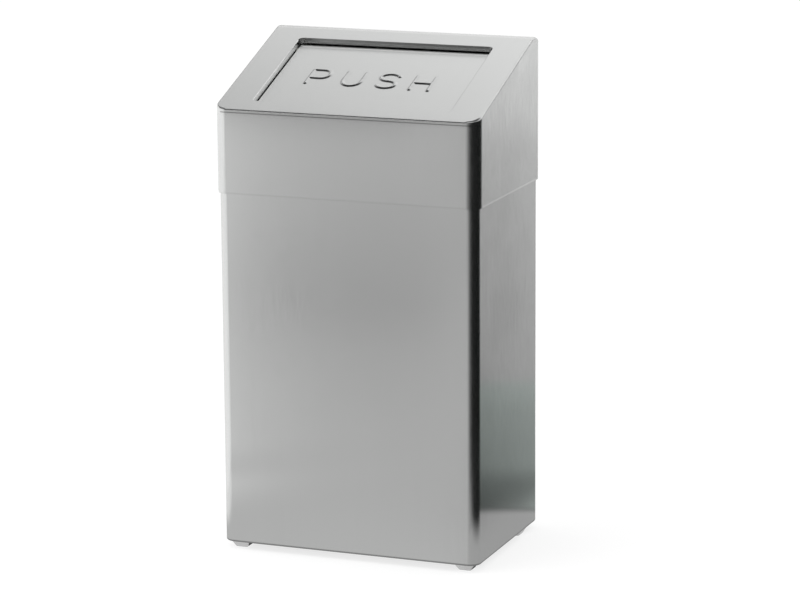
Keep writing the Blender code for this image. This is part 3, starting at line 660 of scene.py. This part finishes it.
@dataclass
class FlapSheet:
    """The flap's sheet with the word that tells what to do with it pressed up out of the steel."""

    letter_height: float = 0.0310
    letter_width: float = 0.0235
    letter_pitch: float = 0.0350
    stroke: float = 0.0050
    shoulder: float = 0.0025
    relief: float = 0.0010
    bowl_share: float = 0.59
    base_line: float = -0.0704
    word_centre: float = -0.0020
    turn: float = -0.020
    grid_step: float = 0.0005
    under_step: float = 0.0010
    border: float = 0.0035
    top_height: float = 0.006
    bend_height: float = 0.0014
    rear_turns: dict[float, float] = field(
        default_factory=lambda: {-0.0005: 0.0, 0.001: 2.5, 0.0022: 5.0, 0.0035: 8.0, 0.0056: 12.0}
    )

    def strokes(self) -> list[list[tuple]]:
        """List the strokes of the word's letters, each letter round its own middle.

        Returns:
            Each letter's strokes: a straight one as its two ends, a round one as its centre, radii,
            first angle and sweep.
        """
        w, h = (self.letter_width - self.stroke) / 2, (self.letter_height - self.stroke) / 2
        bowl = h * self.bowl_share
        waist, foot = h - 2 * bowl, w - h
        stem = ((-w, -h), (-w, h))
        bars = [((-w, y), (w - bowl, y)) for y in (h, waist)]
        return [
            [stem, *bars, ((w - bowl, waist + bowl), (bowl, bowl), -90, 180)],
            [((-w, foot), (-w, h)), ((w, foot), (w, h)), ((0, foot), (w, w), 180, 180)],
            [((0, h / 2), (w, h / 2), 25, 245), ((0, -h / 2), (w, h / 2), 90, -245)],
            [stem, ((w, -h), (w, h)), ((-w, 0), (w, 0))],
        ]

    def letter_distances(self, points: np.ndarray) -> np.ndarray:
        """Find how far points are from the word.

        Args:
            points: points in the sheet's plane, one per row.

        Returns:
            Each point's distance to the nearest stroke's centre line.
        """
        middle = self.base_line + self.letter_height / 2
        pivot = np.array([self.word_centre, middle])
        side, up = math.cos(self.turn), math.sin(self.turn)
        points = pivot + (points - pivot) @ np.array([[side, -up], [up, side]])
        found = []
        for place, strokes in enumerate(self.strokes()):
            centre = self.word_centre + (place - 1.5) * self.letter_pitch
            local = points - np.array([centre, middle])
            for stroke in strokes:
                distance = segment_distance if len(stroke) == 2 else arc_distance
                found.append(distance(local, *stroke))
        return np.min(found, axis=0)

    def rise(self, points: np.ndarray) -> np.ndarray:
        """Find how far the sheet is pressed up.

        Args:
            points: points in the sheet's plane, one per row.

        Returns:
            The rise at each point.
        """
        inside = self.stroke / 2 - self.letter_distances(points)
        share = np.clip(inside / self.shoulder, 0, 1)
        return self.relief * share * share * (3 - 2 * share)

    def relief_grid(self, bm: BMesh, height: float, step: float) -> list[BMEdge]:
        """Add the pressed part of one side of the sheet.

        Args:
            bm: the mesh in the flap's frame.
            height: that side's height.
            step: the grid's spacing.

        Returns:
            The grid's outer edges.
        """
        half_x = 1.5 * self.letter_pitch + self.letter_width / 2 + self.border
        low_y, high_y = self.base_line - self.border, self.base_line + self.letter_height + self.border
        columns, rows = round(2 * half_x / step), round((high_y - low_y) / step)
        xs = self.word_centre + np.linspace(-half_x, half_x, columns + 1)
        ys = np.linspace(low_y, high_y, rows + 1)
        points = np.stack(np.meshgrid(xs, ys), axis=-1).reshape(-1, 2)
        rises = self.rise(points)
        verts = [bm.verts.new((x, y, height + rise)) for (x, y), rise in zip(points, rises)]
        for row in range(rows):
            for column in range(columns):
                first = row * (columns + 1) + column
                above = first + columns + 1
                bm.faces.new((verts[first], verts[first + 1], verts[above + 1], verts[above]))
        new = set(verts)
        return [edge for edge in bm.edges if edge.is_boundary and edge.verts[0] in new]

    def build(self, material: Material) -> Object:
        """Build the sheet and let it stand for the plain panel.

        Args:
            material: the sheet's finish.

        Returns:
            The sheet, riding on the flap.
        """
        mesh = merged_copy("flap_panel")
        to_flap = flap_frame().inverted()
        bm = bmesh.new()
        bm.from_mesh(mesh)
        bm.transform(to_flap)
        bm.normal_update()
        sides = ((1, self.top_height, self.grid_step), (-1, self.top_height - SHEET, self.under_step))
        for sign, height, step in sides:
            flat = [
                face
                for face in bm.faces
                if face.normal.z * sign > LEVEL_FACE
                and abs(face.calc_center_median().z - height) < SHEET / 10
            ]
            bmesh.ops.delete(bm, geom=flat, context="FACES_ONLY")
            loop = [edge for edge in bm.edges if edge.is_boundary]
            inner = self.relief_grid(bm, height, step)
            bmesh.ops.triangle_fill(bm, use_beauty=True, edges=loop + inner)
        bmesh.ops.delete(bm, geom=[edge for edge in bm.edges if not edge.link_faces], context="EDGES")
        bmesh.ops.delete(bm, geom=[vert for vert in bm.verts if not vert.link_faces], context="VERTS")
        for run in self.rear_turns:
            everything = [*bm.verts, *bm.edges, *bm.faces]
            bmesh.ops.bisect_plane(bm, geom=everything, dist=HAIR, plane_co=(0, run, 0), plane_no=(0, 1, 0))
        bmesh.ops.recalc_face_normals(bm, faces=bm.faces)
        open_edges = sum(1 for edge in bm.edges if not edge.is_manifold)
        bm.transform(flap_frame())
        bm.to_mesh(mesh)
        bm.free()
        set_flat_first_normals(mesh)
        below = self.top_height - MERGE_DISTANCE
        crisp_bends(mesh, Vector((-1, -1, below - self.bend_height)), Vector((1, 1, below)))
        self.turn_rear(mesh)
        piece = finished_object("flap_sheet", mesh, material)
        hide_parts("flap_panel")
        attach(piece, "flap")
        LOG.info("flap_sheet: %d faces, %d open edges", len(mesh.polygons), open_edges)
        return piece

    def turn_rear(self, mesh: Mesh) -> None:
        """Let the last millimetres before the rear bend look a little drawn up, as pressed sheet does.

        Args:
            mesh: the sheet's mesh, already smoothly shaded.
        """
        basis, to_flap = flap_frame().to_3x3(), flap_frame().inverted()
        runs, turns = list(self.rear_turns), [math.radians(turn) for turn in self.rear_turns.values()]
        normals = read_normals(mesh)
        for loop in mesh.loops:
            place = to_flap @ mesh.vertices[loop.vertex_index].co
            if place.z > self.top_height - HAIR and place.y > runs[0]:
                turn = float(np.interp(place.y, runs, turns))
                normals[loop.index] = basis @ Vector((0, -math.sin(turn), math.cos(turn)))
        write_normals(mesh, normals)


def swept_wire(name: str, path: list[Vector], radius: float, sides: int) -> Mesh:
    """Sweep a round section along a path and close its ends.

    Args:
        name: the mesh's name.
        path: the points that the wire follows.
        radius: the wire's radius.
        sides: how many sides its section has.

    Returns:
        The wire's mesh.
    """
    bm = bmesh.new()
    rings = []
    side = Vector((0, 0, 1))
    for index, point in enumerate(path):
        before, after = path[max(index - 1, 0)], path[min(index + 1, len(path) - 1)]
        ahead = (after - before).normalized()
        if abs(ahead.dot(side)) > NEARLY_ALONG:
            side = ahead.orthogonal()
        side = (side - ahead * side.dot(ahead)).normalized()
        up = ahead.cross(side)
        angles = [2 * math.pi * turn / sides for turn in range(sides)]
        rings.append(
            [bm.verts.new(point + radius * (side * math.cos(a) + up * math.sin(a))) for a in angles]
        )
    for ring, following in zip(rings, rings[1:]):
        for turn in range(sides):
            beside = (turn + 1) % sides
            bm.faces.new((ring[turn], ring[beside], following[beside], following[turn]))
    bm.faces.new(rings[0])
    bm.faces.new(rings[-1])
    bmesh.ops.recalc_face_normals(bm, faces=bm.faces)
    mesh = bpy.data.meshes.new(name)
    bm.to_mesh(mesh)
    bm.free()
    mesh.shade_smooth()
    mesh.set_sharp_from_angle(angle=WIRE_SHARP_ANGLE)
    return mesh


@dataclass
class TorsionSpring:
    """A wound spring on the hinge rod: one leg under the lid's top, the other under the flap."""

    sign: int
    wire_radius: float = 0.0006
    coil_radius: float = 0.0033
    pitch: float = 0.0018
    turns: int = 6
    points_per_turn: int = 28
    outer_x: float = 0.0902
    rear_leg: float = 0.0135
    lid_height: float = 0.0096
    leg_bend: float = 0.002
    leg_straight: float = 0.005
    front_leg: float = 0.030
    flap_height: float = 0.0041
    sides: int = 12
    bend_steps: int = 8
    leg_steps: int = 12

    def path(self) -> list[Vector]:
        """Lay out the wire's course from the lid's leg through the coils to the flap's leg.

        Returns:
            Its points, in the flap's frame.
        """
        low = -self.coil_radius
        points = [(self.outer_x, self.rear_leg, self.lid_height)]
        bend_centre = (self.rear_leg - self.leg_bend, low + self.leg_bend)
        for step in range(self.bend_steps + 1):
            angle = -math.pi / 2 * step / self.bend_steps
            y = bend_centre[0] + self.leg_bend * math.cos(angle)
            points.append((self.outer_x, y, bend_centre[1] + self.leg_bend * math.sin(angle)))
        for step in range(self.turns * self.points_per_turn + 1):
            angle = -math.pi / 2 - 2 * math.pi * step / self.points_per_turn
            x = self.outer_x - self.pitch * step / self.points_per_turn
            points.append((x, self.coil_radius * math.cos(angle), self.coil_radius * math.sin(angle)))
        inner_x = points[-1][0]
        start = (-self.leg_straight, low)
        end = (self.leg_bend - self.front_leg, self.flap_height)
        for step in range(self.leg_steps + 1):
            share = step / self.leg_steps
            y = start[0] + (end[0] - start[0]) * share
            lift = share * share * (3 - 2 * share)
            points.append((inner_x, y, start[1] + (end[1] - start[1]) * lift))
        points.append((inner_x, -self.front_leg, self.flap_height))
        return [Vector((self.sign * x, y, z)) for x, y, z in points]

    def build(self, material: Material) -> Object:
        """Build the spring and let it wind between the lid and the flap.

        Args:
            material: the wire's finish.

        Returns:
            The spring.
        """
        side = "right" if self.sign > 0 else "left"
        name = f"wound_spring_{side}"
        mesh = swept_wire(name, self.path(), self.wire_radius, self.sides)
        mesh.transform(flap_frame())
        piece = finished_object(name, mesh, material)
        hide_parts(f"torsion_spring_{side}")
        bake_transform(piece)
        LOG.info("%s: %d points along the wire", name, len(self.path()))
        return piece


class SpotWelds:
    """Rows of spot weld marks, each a low ring that the electrode leaves in the sheet."""
    ring_sides = 20
    lip_sides = 6
    inputs = {
        "Pitch": "NodeSocketFloat",
        "Ring Radius": "NodeSocketFloat",
        "Lip Radius": "NodeSocketFloat",
        "Facing": "NodeSocketVector",
        "Finish": "NodeSocketMaterial",
    }

    def __init__(self, ring_radius: float = 0.0021, lip_radius: float = 0.00012) -> None:
        """Keep the mark's sizes and build the tree that spreads it.

        Args:
            ring_radius: the mark's radius.
            lip_radius: its lip's own radius.
        """
        self.ring_radius = ring_radius
        self.lip_radius = lip_radius
        self.tree = bpy.data.node_groups.new("spot_weld_rows", "GeometryNodeTree")
        self.identifiers = self.fill_tree()

    def fill_tree(self) -> dict[str, str]:
        """Build the Geometry Nodes tree.

        Returns:
            The identifiers of its named inputs.
        """
        face = self.tree.interface
        face.new_socket("Geometry", in_out="INPUT", socket_type="NodeSocketGeometry")
        identifiers = {
            name: face.new_socket(name, in_out="INPUT", socket_type=kind).identifier
            for name, kind in self.inputs.items()
        }
        face.new_socket("Geometry", in_out="OUTPUT", socket_type="NodeSocketGeometry")
        sheet = NodeSheet(self.tree)
        given = sheet.add("NodeGroupInput").outputs
        rows = sheet.add("GeometryNodeMeshToCurve", {"Mesh": given["Geometry"]}).outputs[0]
        spacing = {"Curve": rows, "Length": given["Pitch"]}
        spaced = sheet.add("GeometryNodeResampleCurve", spacing, mode="LENGTH").outputs[0]
        circles = []
        for sides, radius in ((self.ring_sides, "Ring Radius"), (self.lip_sides, "Lip Radius")):
            sizes = {"Resolution": sides, "Radius": given[radius]}
            circles.append(sheet.add("GeometryNodeCurvePrimitiveCircle", sizes).outputs["Curve"])
        ring = {"Curve": circles[0], "Profile Curve": circles[1]}
        mark = sheet.add("GeometryNodeCurveToMesh", ring).outputs["Mesh"]
        turn = sheet.add("FunctionNodeAlignRotationToVector", {"Vector": given["Facing"]}, axis="Z")
        spread = sheet.add(
            "GeometryNodeInstanceOnPoints",
            {"Points": spaced, "Instance": mark, "Rotation": turn.outputs["Rotation"]},
        ).outputs["Instances"]
        real = sheet.add("GeometryNodeRealizeInstances", {"Geometry": spread}).outputs[0]
        finish = {"Geometry": real, "Material": given["Finish"]}
        dressed = sheet.add("GeometryNodeSetMaterial", finish).outputs[0]
        sheet.add("NodeGroupOutput", {"Geometry": dressed})
        return identifiers

    def rows(
        self, lines: list[tuple[Vector, Vector]], pitch: float, facing: Vector, material: Material
    ) -> Mesh:
        """Spread marks along straight rows that face one way.

        Args:
            lines: the rows' ends.
            pitch: the marks' spacing.
            facing: the way that the sheet faces.
            material: the marks' finish.

        Returns:
            A plain mesh of the marks.
        """
        base = bpy.data.meshes.new("weld_rows")
        points = [tuple(point) for line in lines for point in line]
        base.from_pydata(points, [(2 * row, 2 * row + 1) for row in range(len(lines))], [])
        carrier = placed("weld_rows", base)
        modifier = carrier.modifiers.new("welds", "NODES")
        modifier.node_group = self.tree
        values = (pitch, self.ring_radius, self.lip_radius, tuple(facing), material)
        for name, value in zip(self.inputs, values):
            modifier[self.identifiers[name]] = value
        bpy.context.view_layer.update()
        graph = bpy.context.evaluated_depsgraph_get()
        mesh = bpy.data.meshes.new_from_object(carrier.evaluated_get(graph))
        bpy.data.objects.remove(carrier)
        mesh.shade_smooth()
        return mesh


@dataclass(frozen=True)
class Card:
    """A reflector or a dark flag that only the steel sees, with its own brightness at each corner.

    The glow is given for the first corner, the corner across from it, and the same two farther along.
    """

    name: str
    corner: Triple
    across: Triple
    along: Triple
    glow: tuple[float, float, float, float]
    feather: float = 0.02
    tint: Triple = (1.0, 1.0, 1.0)

    def build(self) -> None:
        """Build the card and hide it from all but reflections."""
        first, across, along = Vector(self.corner), Vector(self.across), Vector(self.along)
        mesh = bpy.data.meshes.new(self.name)
        mesh.from_pydata([first, first + across, first + across + along, first + along], [], [(0, 1, 2, 3)])
        layer = mesh.uv_layers.new(name="card")
        for loop, place in zip(layer.data, ((0, 0), (1, 0), (1, 1), (0, 1))):
            loop.uv = place
        material, sheet, shader = new_material(self.name)
        parts = sheet.split(sheet.add("ShaderNodeUVMap", uv_map="card").outputs[0])
        near = sheet.add("ShaderNodeMapRange", {0: parts["X"], 3: self.glow[0], 4: self.glow[1]}).outputs[0]
        far = sheet.add("ShaderNodeMapRange", {0: parts["X"], 3: self.glow[2], 4: self.glow[3]}).outputs[0]
        fades = []
        for part, length in (("X", across.length), ("Y", along.length)):
            away = sheet.math("ABSOLUTE", sheet.math("SUBTRACT", parts[part], 0.5))
            fades.append(sheet.map_range(away, (0.5 - self.feather / length, 0.5), (1.0, 0.0)))
        shown = sheet.math("MULTIPLY", fades[0], fades[1])
        light = {"Color": (*self.tint, 1.0), "Strength": sheet.mix(parts["Y"], near, far)}
        glow = sheet.add("ShaderNodeEmission", light).outputs[0]
        clear = sheet.add("ShaderNodeBsdfTransparent").outputs[0]
        sheet.tree.nodes.remove(shader)
        sheet.surface(sheet.add("ShaderNodeMixShader", {0: shown, 1: clear, 2: glow}).outputs[0])
        mesh.materials.append(material)
        card = placed(self.name, mesh)
        only_reflected(card)


def only_reflected(thing: Object) -> None:
    """Hide a stage object from all rays but reflected ones.

    Args:
        thing: the card or tent.
    """
    thing.visible_camera = False
    thing.visible_diffuse = False
    thing.visible_shadow = False
    thing.visible_transmission = False
    thing.visible_volume_scatter = False


@dataclass
class Studio:
    """Pale floor, soft light and the reflectors that the steel shows."""

    floor_size: float = 30.0
    floor_colour: Triple = (0.90, 0.90, 0.90)
    floor_glow_share: float = 0.6
    floor_glow: float = 1.27
    ambient: float = 0.75
    lamp_power: float = 9.0
    lamp_size: float = 1.6
    lamp_place: Triple = (-1.0, -1.0, 1.9)
    lamp_aim: Triple = (0.0, 0.0, 0.2)
    tent_radius: float = 2.9
    tent_brightness: float = 0.20
    cards: list[Card] = field(default_factory=list)

    def floor(self) -> None:
        """Lay a pale floor that takes the bin's shadow."""
        bm = bmesh.new()
        bmesh.ops.create_grid(bm, x_segments=1, y_segments=1, size=self.floor_size / 2)
        mesh = bpy.data.meshes.new("floor")
        bm.to_mesh(mesh)
        bm.free()
        material, sheet, shader = new_material("pale_floor")
        shader.inputs["Base Color"].default_value = (*self.floor_colour, 1.0)
        shader.inputs["Roughness"].default_value = 0.9
        shader.inputs["Specular IOR Level"].default_value = 0.0
        glow = sheet.add("ShaderNodeEmission", {"Strength": self.floor_glow}).outputs[0]
        share = sheet.math("MULTIPLY", self.seen(sheet), self.floor_glow_share)
        sheet.surface(sheet.add("ShaderNodeMixShader", {0: share, 1: shader.outputs[0], 2: glow}).outputs[0])
        mesh.materials.append(material)
        floor = placed("floor", mesh)

    @staticmethod
    def seen(sheet: NodeSheet) -> Socket:
        """Tell the rays that see the floor or the backdrop from those that only light.

        Args:
            sheet: the material's or world's node sheet.

        Returns:
            1 for camera, mirrored and transmitted rays, and 0 for the rest.
        """
        path = sheet.add("ShaderNodeLightPath").outputs
        either = sheet.math("MAXIMUM", path["Is Camera Ray"], path["Is Glossy Ray"])
        return sheet.math("MAXIMUM", either, path["Is Transmission Ray"])

    def backdrop(self) -> None:
        """Make the world white where it is seen and plain where it lights."""
        world = bpy.data.worlds.new("studio_world")
        bpy.context.scene.world = world
        world.use_nodes = True
        sheet = NodeSheet(world.node_tree)
        background = world.node_tree.nodes["Background"]
        background.inputs["Color"].default_value = (1, 1, 1, 1)
        strength = sheet.add("ShaderNodeMapRange", {0: self.seen(sheet), 3: self.ambient, 4: 1.0}).outputs[0]
        sheet.feed(background.inputs["Strength"], strength)

    def lamp(self) -> None:
        """Hang one wide soft lamp at the front left, for shade and shadow."""
        data = bpy.data.lights.new("soft_lamp", "AREA")
        data.shape = "DISK"
        data.size = self.lamp_size
        data.energy = self.lamp_power
        lamp = placed("soft_lamp", data)
        lamp.location = self.lamp_place
        aim = Vector(self.lamp_aim) - lamp.location
        lamp.rotation_euler = aim.to_track_quat("-Z", "Y").to_euler()
        lamp.visible_glossy = False

    def tent(self) -> None:
        """Close the studio off with a dim tent that only the steel sees."""
        bm = bmesh.new()
        bmesh.ops.create_uvsphere(bm, u_segments=32, v_segments=16, radius=self.tent_radius)
        mesh = bpy.data.meshes.new("studio_tent")
        bm.to_mesh(mesh)
        bm.free()
        material, sheet, shader = new_material("tent_cloth")
        sheet.tree.nodes.remove(shader)
        sheet.surface(sheet.add("ShaderNodeEmission", {"Strength": self.tent_brightness}).outputs[0])
        mesh.materials.append(material)
        tent = placed("studio_tent", mesh)
        only_reflected(tent)

    def build(self) -> None:
        """Set the whole studio up."""
        self.floor()
        self.backdrop()
        self.lamp()
        self.tent()
        for card in self.cards:
            card.build()
        bpy.context.scene.view_settings.view_transform = "Standard"
        LOG.info("studio: floor, tent and %d cards", len(self.cards))


@dataclass(frozen=True)
class Camera:
    """The photograph's camera, from a fit to the bin's edges."""

    azimuth: float = 21.316
    elevation: float = 12.475
    roll: float = -0.395
    distance: float = 3.2592
    target: Triple = (0.01994, 0.0, 0.23531)
    lens: float = 154.63
    sensor: float = 36.0

    def build(self) -> None:
        """Create the camera and make it the scene's own."""
        data = bpy.data.cameras.new("photo_camera")
        data.lens = self.lens
        data.sensor_width = self.sensor
        data.clip_end = 100
        camera = placed("photo_camera", data)
        a, e, r = (math.radians(angle) for angle in (self.azimuth, self.elevation, self.roll))
        back = Vector((math.sin(a) * math.cos(e), -math.cos(a) * math.cos(e), math.sin(e)))
        level = Vector((math.cos(a), math.sin(a), 0))
        up = Vector((-math.sin(a) * math.sin(e), math.cos(a) * math.sin(e), math.cos(e)))
        right = math.cos(r) * level + math.sin(r) * up
        over = math.cos(r) * up - math.sin(r) * level
        turn = Matrix((right, over, back)).transposed()
        place = Vector(self.target) + self.distance * back
        camera.matrix_world = Matrix.Translation(place) @ turn.to_4x4()
        bpy.context.scene.camera = camera


@dataclass
class Bin:
    """The bin's body, lid, flap and bag frame with their finishes."""

    weld_pitch: float = 0.045
    rim_low: Triple = (-0.0996, 0.0065, 0.0102)
    rim_high: Triple = (0.0996, 0.012, 0.01149)
    fold_leans: dict[Pair, float] = field(
        default_factory=lambda: {(12.0, 34.0): 54.0, (34.0, 60.0): 69.0}
    )
    slots: dict[str, Material] = field(default_factory=dict)

    def finishes(self) -> None:
        """Build every finish once."""
        self.slots = {
            "walls": STEEL.material("brushed_steel_upright", GrainRun.UPRIGHT),
            "lid": LID_STEEL.material("brushed_steel_folded", GrainRun.FOLDED),
            "flap": FLAP_STEEL.material("brushed_steel_slanted", GrainRun.SLANTED),
            "inner_steel": INNER_STEEL.material("mill_steel"),
            "zinc_steel": ZINC.material("zinc_plate"),
            "spring_steel": SPRING_STEEL.material("oiled_spring_steel"),
            "foot_plastic": FOOT_PLASTIC.material("grey_foot_plastic"),
            "bush_nylon": NYLON.material("natural_nylon"),
            "buffer_rubber": RUBBER.material("black_rubber"),
        }

    def dress_nodes(self) -> None:
        """Give every CAD node the finish of its slot. The sheet's slot takes the walls' finish."""
        for part in frame["record"]["subparts"]:
            slot = part["material_slot"]
            finish = self.slots.get(slot, self.slots["walls"])
            mesh = frame["nodes"][part["node"]].data
            mesh.materials.clear()
            mesh.materials.append(finish)
            LOG.info("%s: %s", part["node"], finish.name)

    def skins(self) -> None:
        """Stand smooth skins in for the plain solids that show."""
        smooth_skin("body_shell", "body_skin", "bin_body", self.slots["walls"])
        lid = smooth_skin("lid_shell", "lid_skin", "lid", self.slots["lid"])
        crisp_rim(lid.data, Vector(self.rim_low), Vector(self.rim_high))
        drawn_fold(lid.data, self.fold_leans)

    def welds(self) -> None:
        """Mark the spot welds of the back seam."""
        maker = SpotWelds()
        low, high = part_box("seam_strip")
        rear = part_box("body_shell")[1].y
        offset = (high.x - low.x) / 4
        inset = self.weld_pitch / 3
        lines = [
            (Vector((side * offset, rear, low.z + inset)), Vector((side * offset, rear, high.z - inset)))
            for side in (-1, 1)
        ]
        marks = maker.rows(lines, self.weld_pitch, Vector((0, 1, 0)), self.slots["walls"])
        marks.name = "seam_welds"
        piece = finished_object("seam_welds", marks, self.slots["walls"])
        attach(piece, "bin_body")
        LOG.info("seam_welds: %d marks", len(marks.vertices) // (maker.ring_sides * maker.lip_sides))

    def build(self) -> None:
        """Dress the whole bin."""
        self.finishes()
        self.dress_nodes()
        self.skins()
        FlapSheet().build(self.slots["flap"])
        for sign in (-1, 1):
            TorsionSpring(sign).build(self.slots["spring_steel"])
        self.welds()


GREENISH = (0.90, 1.0, 0.96)
CARDS = [
    Card("ground_base", (-3.0, -3.0, 0.0002), (6.0, 0, 0), (0, 6.0, 0), (0.50,) * 4, 0.3),
    Card("front_near", (-2.6, -1.3, 0.0006), (2.74, 0, 0), (0, 1.45, 0), (0.45, 0.45, 0.75, 0.71), 0.04),
    Card("front_far", (-2.6, -2.7, 0.0008), (2.74, 0, 0), (0, 1.8, 0), (0.80, 0.68, 0.42, 0.40), 0.35),
    Card("front_left", (-1.0, -0.35, 0.0010), (0.82, 0, 0), (0, 1.0, 0), (1.0, 1.0, 1.25, 1.25), 0.07),
    Card("front_lift", (0.02, -0.225, -0.02), (0.14, 0, 0), (0, 0, 0.48), (0.64,) * 4, 0.06),
    Card("side_near", (0.10, -0.6, 0.0004), (2.0, 0, 0), (0, 1.6, 0), (0.50,) * 4, 0.02),
    Card(
        "side_dark", (-0.1, 0.238, 0.0012), (1.6, -0.78, 0), (0, 0.62, 0),
        (0.08, 0.08, 0.52, 0.52), 0.034, GREENISH,
    ),
    Card(
        "side_patch", (0.0, 0.118, 0.0018), (0.19, 0, 0), (0, 0.31, 0),
        (0.42, 0.42, 0.46, 0.46), 0.030, GREENISH,
    ),
    Card(
        "side_patch_far", (-0.1, 0.20, 0.0020), (0.41, 0, 0), (0, 0.34, 0),
        (0.36, 0.36, 0.48, 0.48), 0.10, GREENISH,
    ),
    Card("side_mid", (-0.3, 0.64, 0.0014), (3.2, 0, 0), (0, 1.7, 0), (0.52, 0.52, 0.76, 0.76), 0.05),
    Card("side_lift", (-0.2, 0.28, -0.02), (0.39, 0, 0), (0, 0, 0.60), (1.2,) * 4, 0.08),
    Card("left_panel", (-0.28, -0.40, 0.0), (0, 1.02, 0), (0, 0, 0.5), (1.20,) * 4, 0.02),
    Card(
        "flag_front", (0.094, -0.21, -0.045), (0.376, 0, 0), (-0.04, 0, 0.645),
        (0.006,) * 4, 0.13, GREENISH,
    ),
    Card("flag_right", (0.25, -0.22, 0.0), (0.15, 0.54, 0), (0, 0, 0.47), (0.006,) * 4, 0.04, GREENISH),
    Card("flag_low", (0.20, -0.20, 0.0), (0, 0.22, 0), (0, 0, 0.128), (0.01,) * 4, 0.035, GREENISH),
    # A black card under the bin that only reflections see: painted shade where the floor lies in the bin's shade,
    # for the feet to reflect.
    Card("under_bin_shade", (-0.123, -0.079, 0.0016), (0.246, 0, 0), (0, 0.156, 0), (0.0,) * 4, 0.002),
    Card("ceiling", (-2.4, 0.42, 1.52), (4.8, 0, 0), (0, 1.8, 0), (0.85, 1.25, 0.9, 1.4), 0.05),
    Card("top_band", (-1.3, 0.62, 1.5), (1.6, 0, 0), (0, 0.6, 0), (0.05, 1.12, 1.18, 1.42), 0.02),
    Card("top_right", (0.45, 0.55, 1.5), (1.3, 0, 0), (0, 1.3, 0), (0.7, 0.7, 2.0, 2.0), 0.1),
    Card("overhead_flag", (-1.6, -0.74, 1.45), (3.2, 0, 0), (0, 1.06, 0), (0.04,) * 4, 0.03),
    Card("ceiling_front", (-1.6, -1.25, 1.47), (3.2, 0, 0), (0, 0.80, 0), (1.1,) * 4, 0.03),
    Card("front_high", (-1.6, -1.2, 0.90), (2.6, 0, 0), (0, 0, 0.60), (0.9,) * 4, 0.03),
    Card("horizon_flag", (-2.8, -2.75, -0.05), (4.6, 0, 0), (0, 0, 1.35), (0.14,) * 4, 0.02),
    Card("back_wall", (-1.7, 2.25, -0.05), (3.4, 0, 0), (0, 0, 1.6), (1.0, 1.05, 1.0, 1.1), 0.05),
    Card("wall_foot", (0.4, 2.24, -0.05), (1.4, 0, 0), (0, 0, 0.20), (0.74, 0.74, 1.20, 1.20), 0.03),
    Card("edge_flag", (1.15, 2.2, 0.15), (0.8, 0, 0), (0, 0, 0.6), (0.4,) * 4, 0.05),
    Card("left_wall", (-2.0, -0.4, 0.1), (0, 2.6, 0), (0, 0, 1.9), (1.05,) * 4, 0.1),
    Card("right_wall", (2.0, -0.4, 0.1), (0, 2.6, 0), (0, 0, 1.9), (1.15,) * 4, 0.1),
]


def main() -> None:
    logging.basicConfig(level=logging.INFO, format="%(name)s: %(message)s")
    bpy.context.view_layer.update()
    Camera().build()
    Bin().build()
    Studio(cards=CARDS).build()


if __name__ == "__main__":
    main()
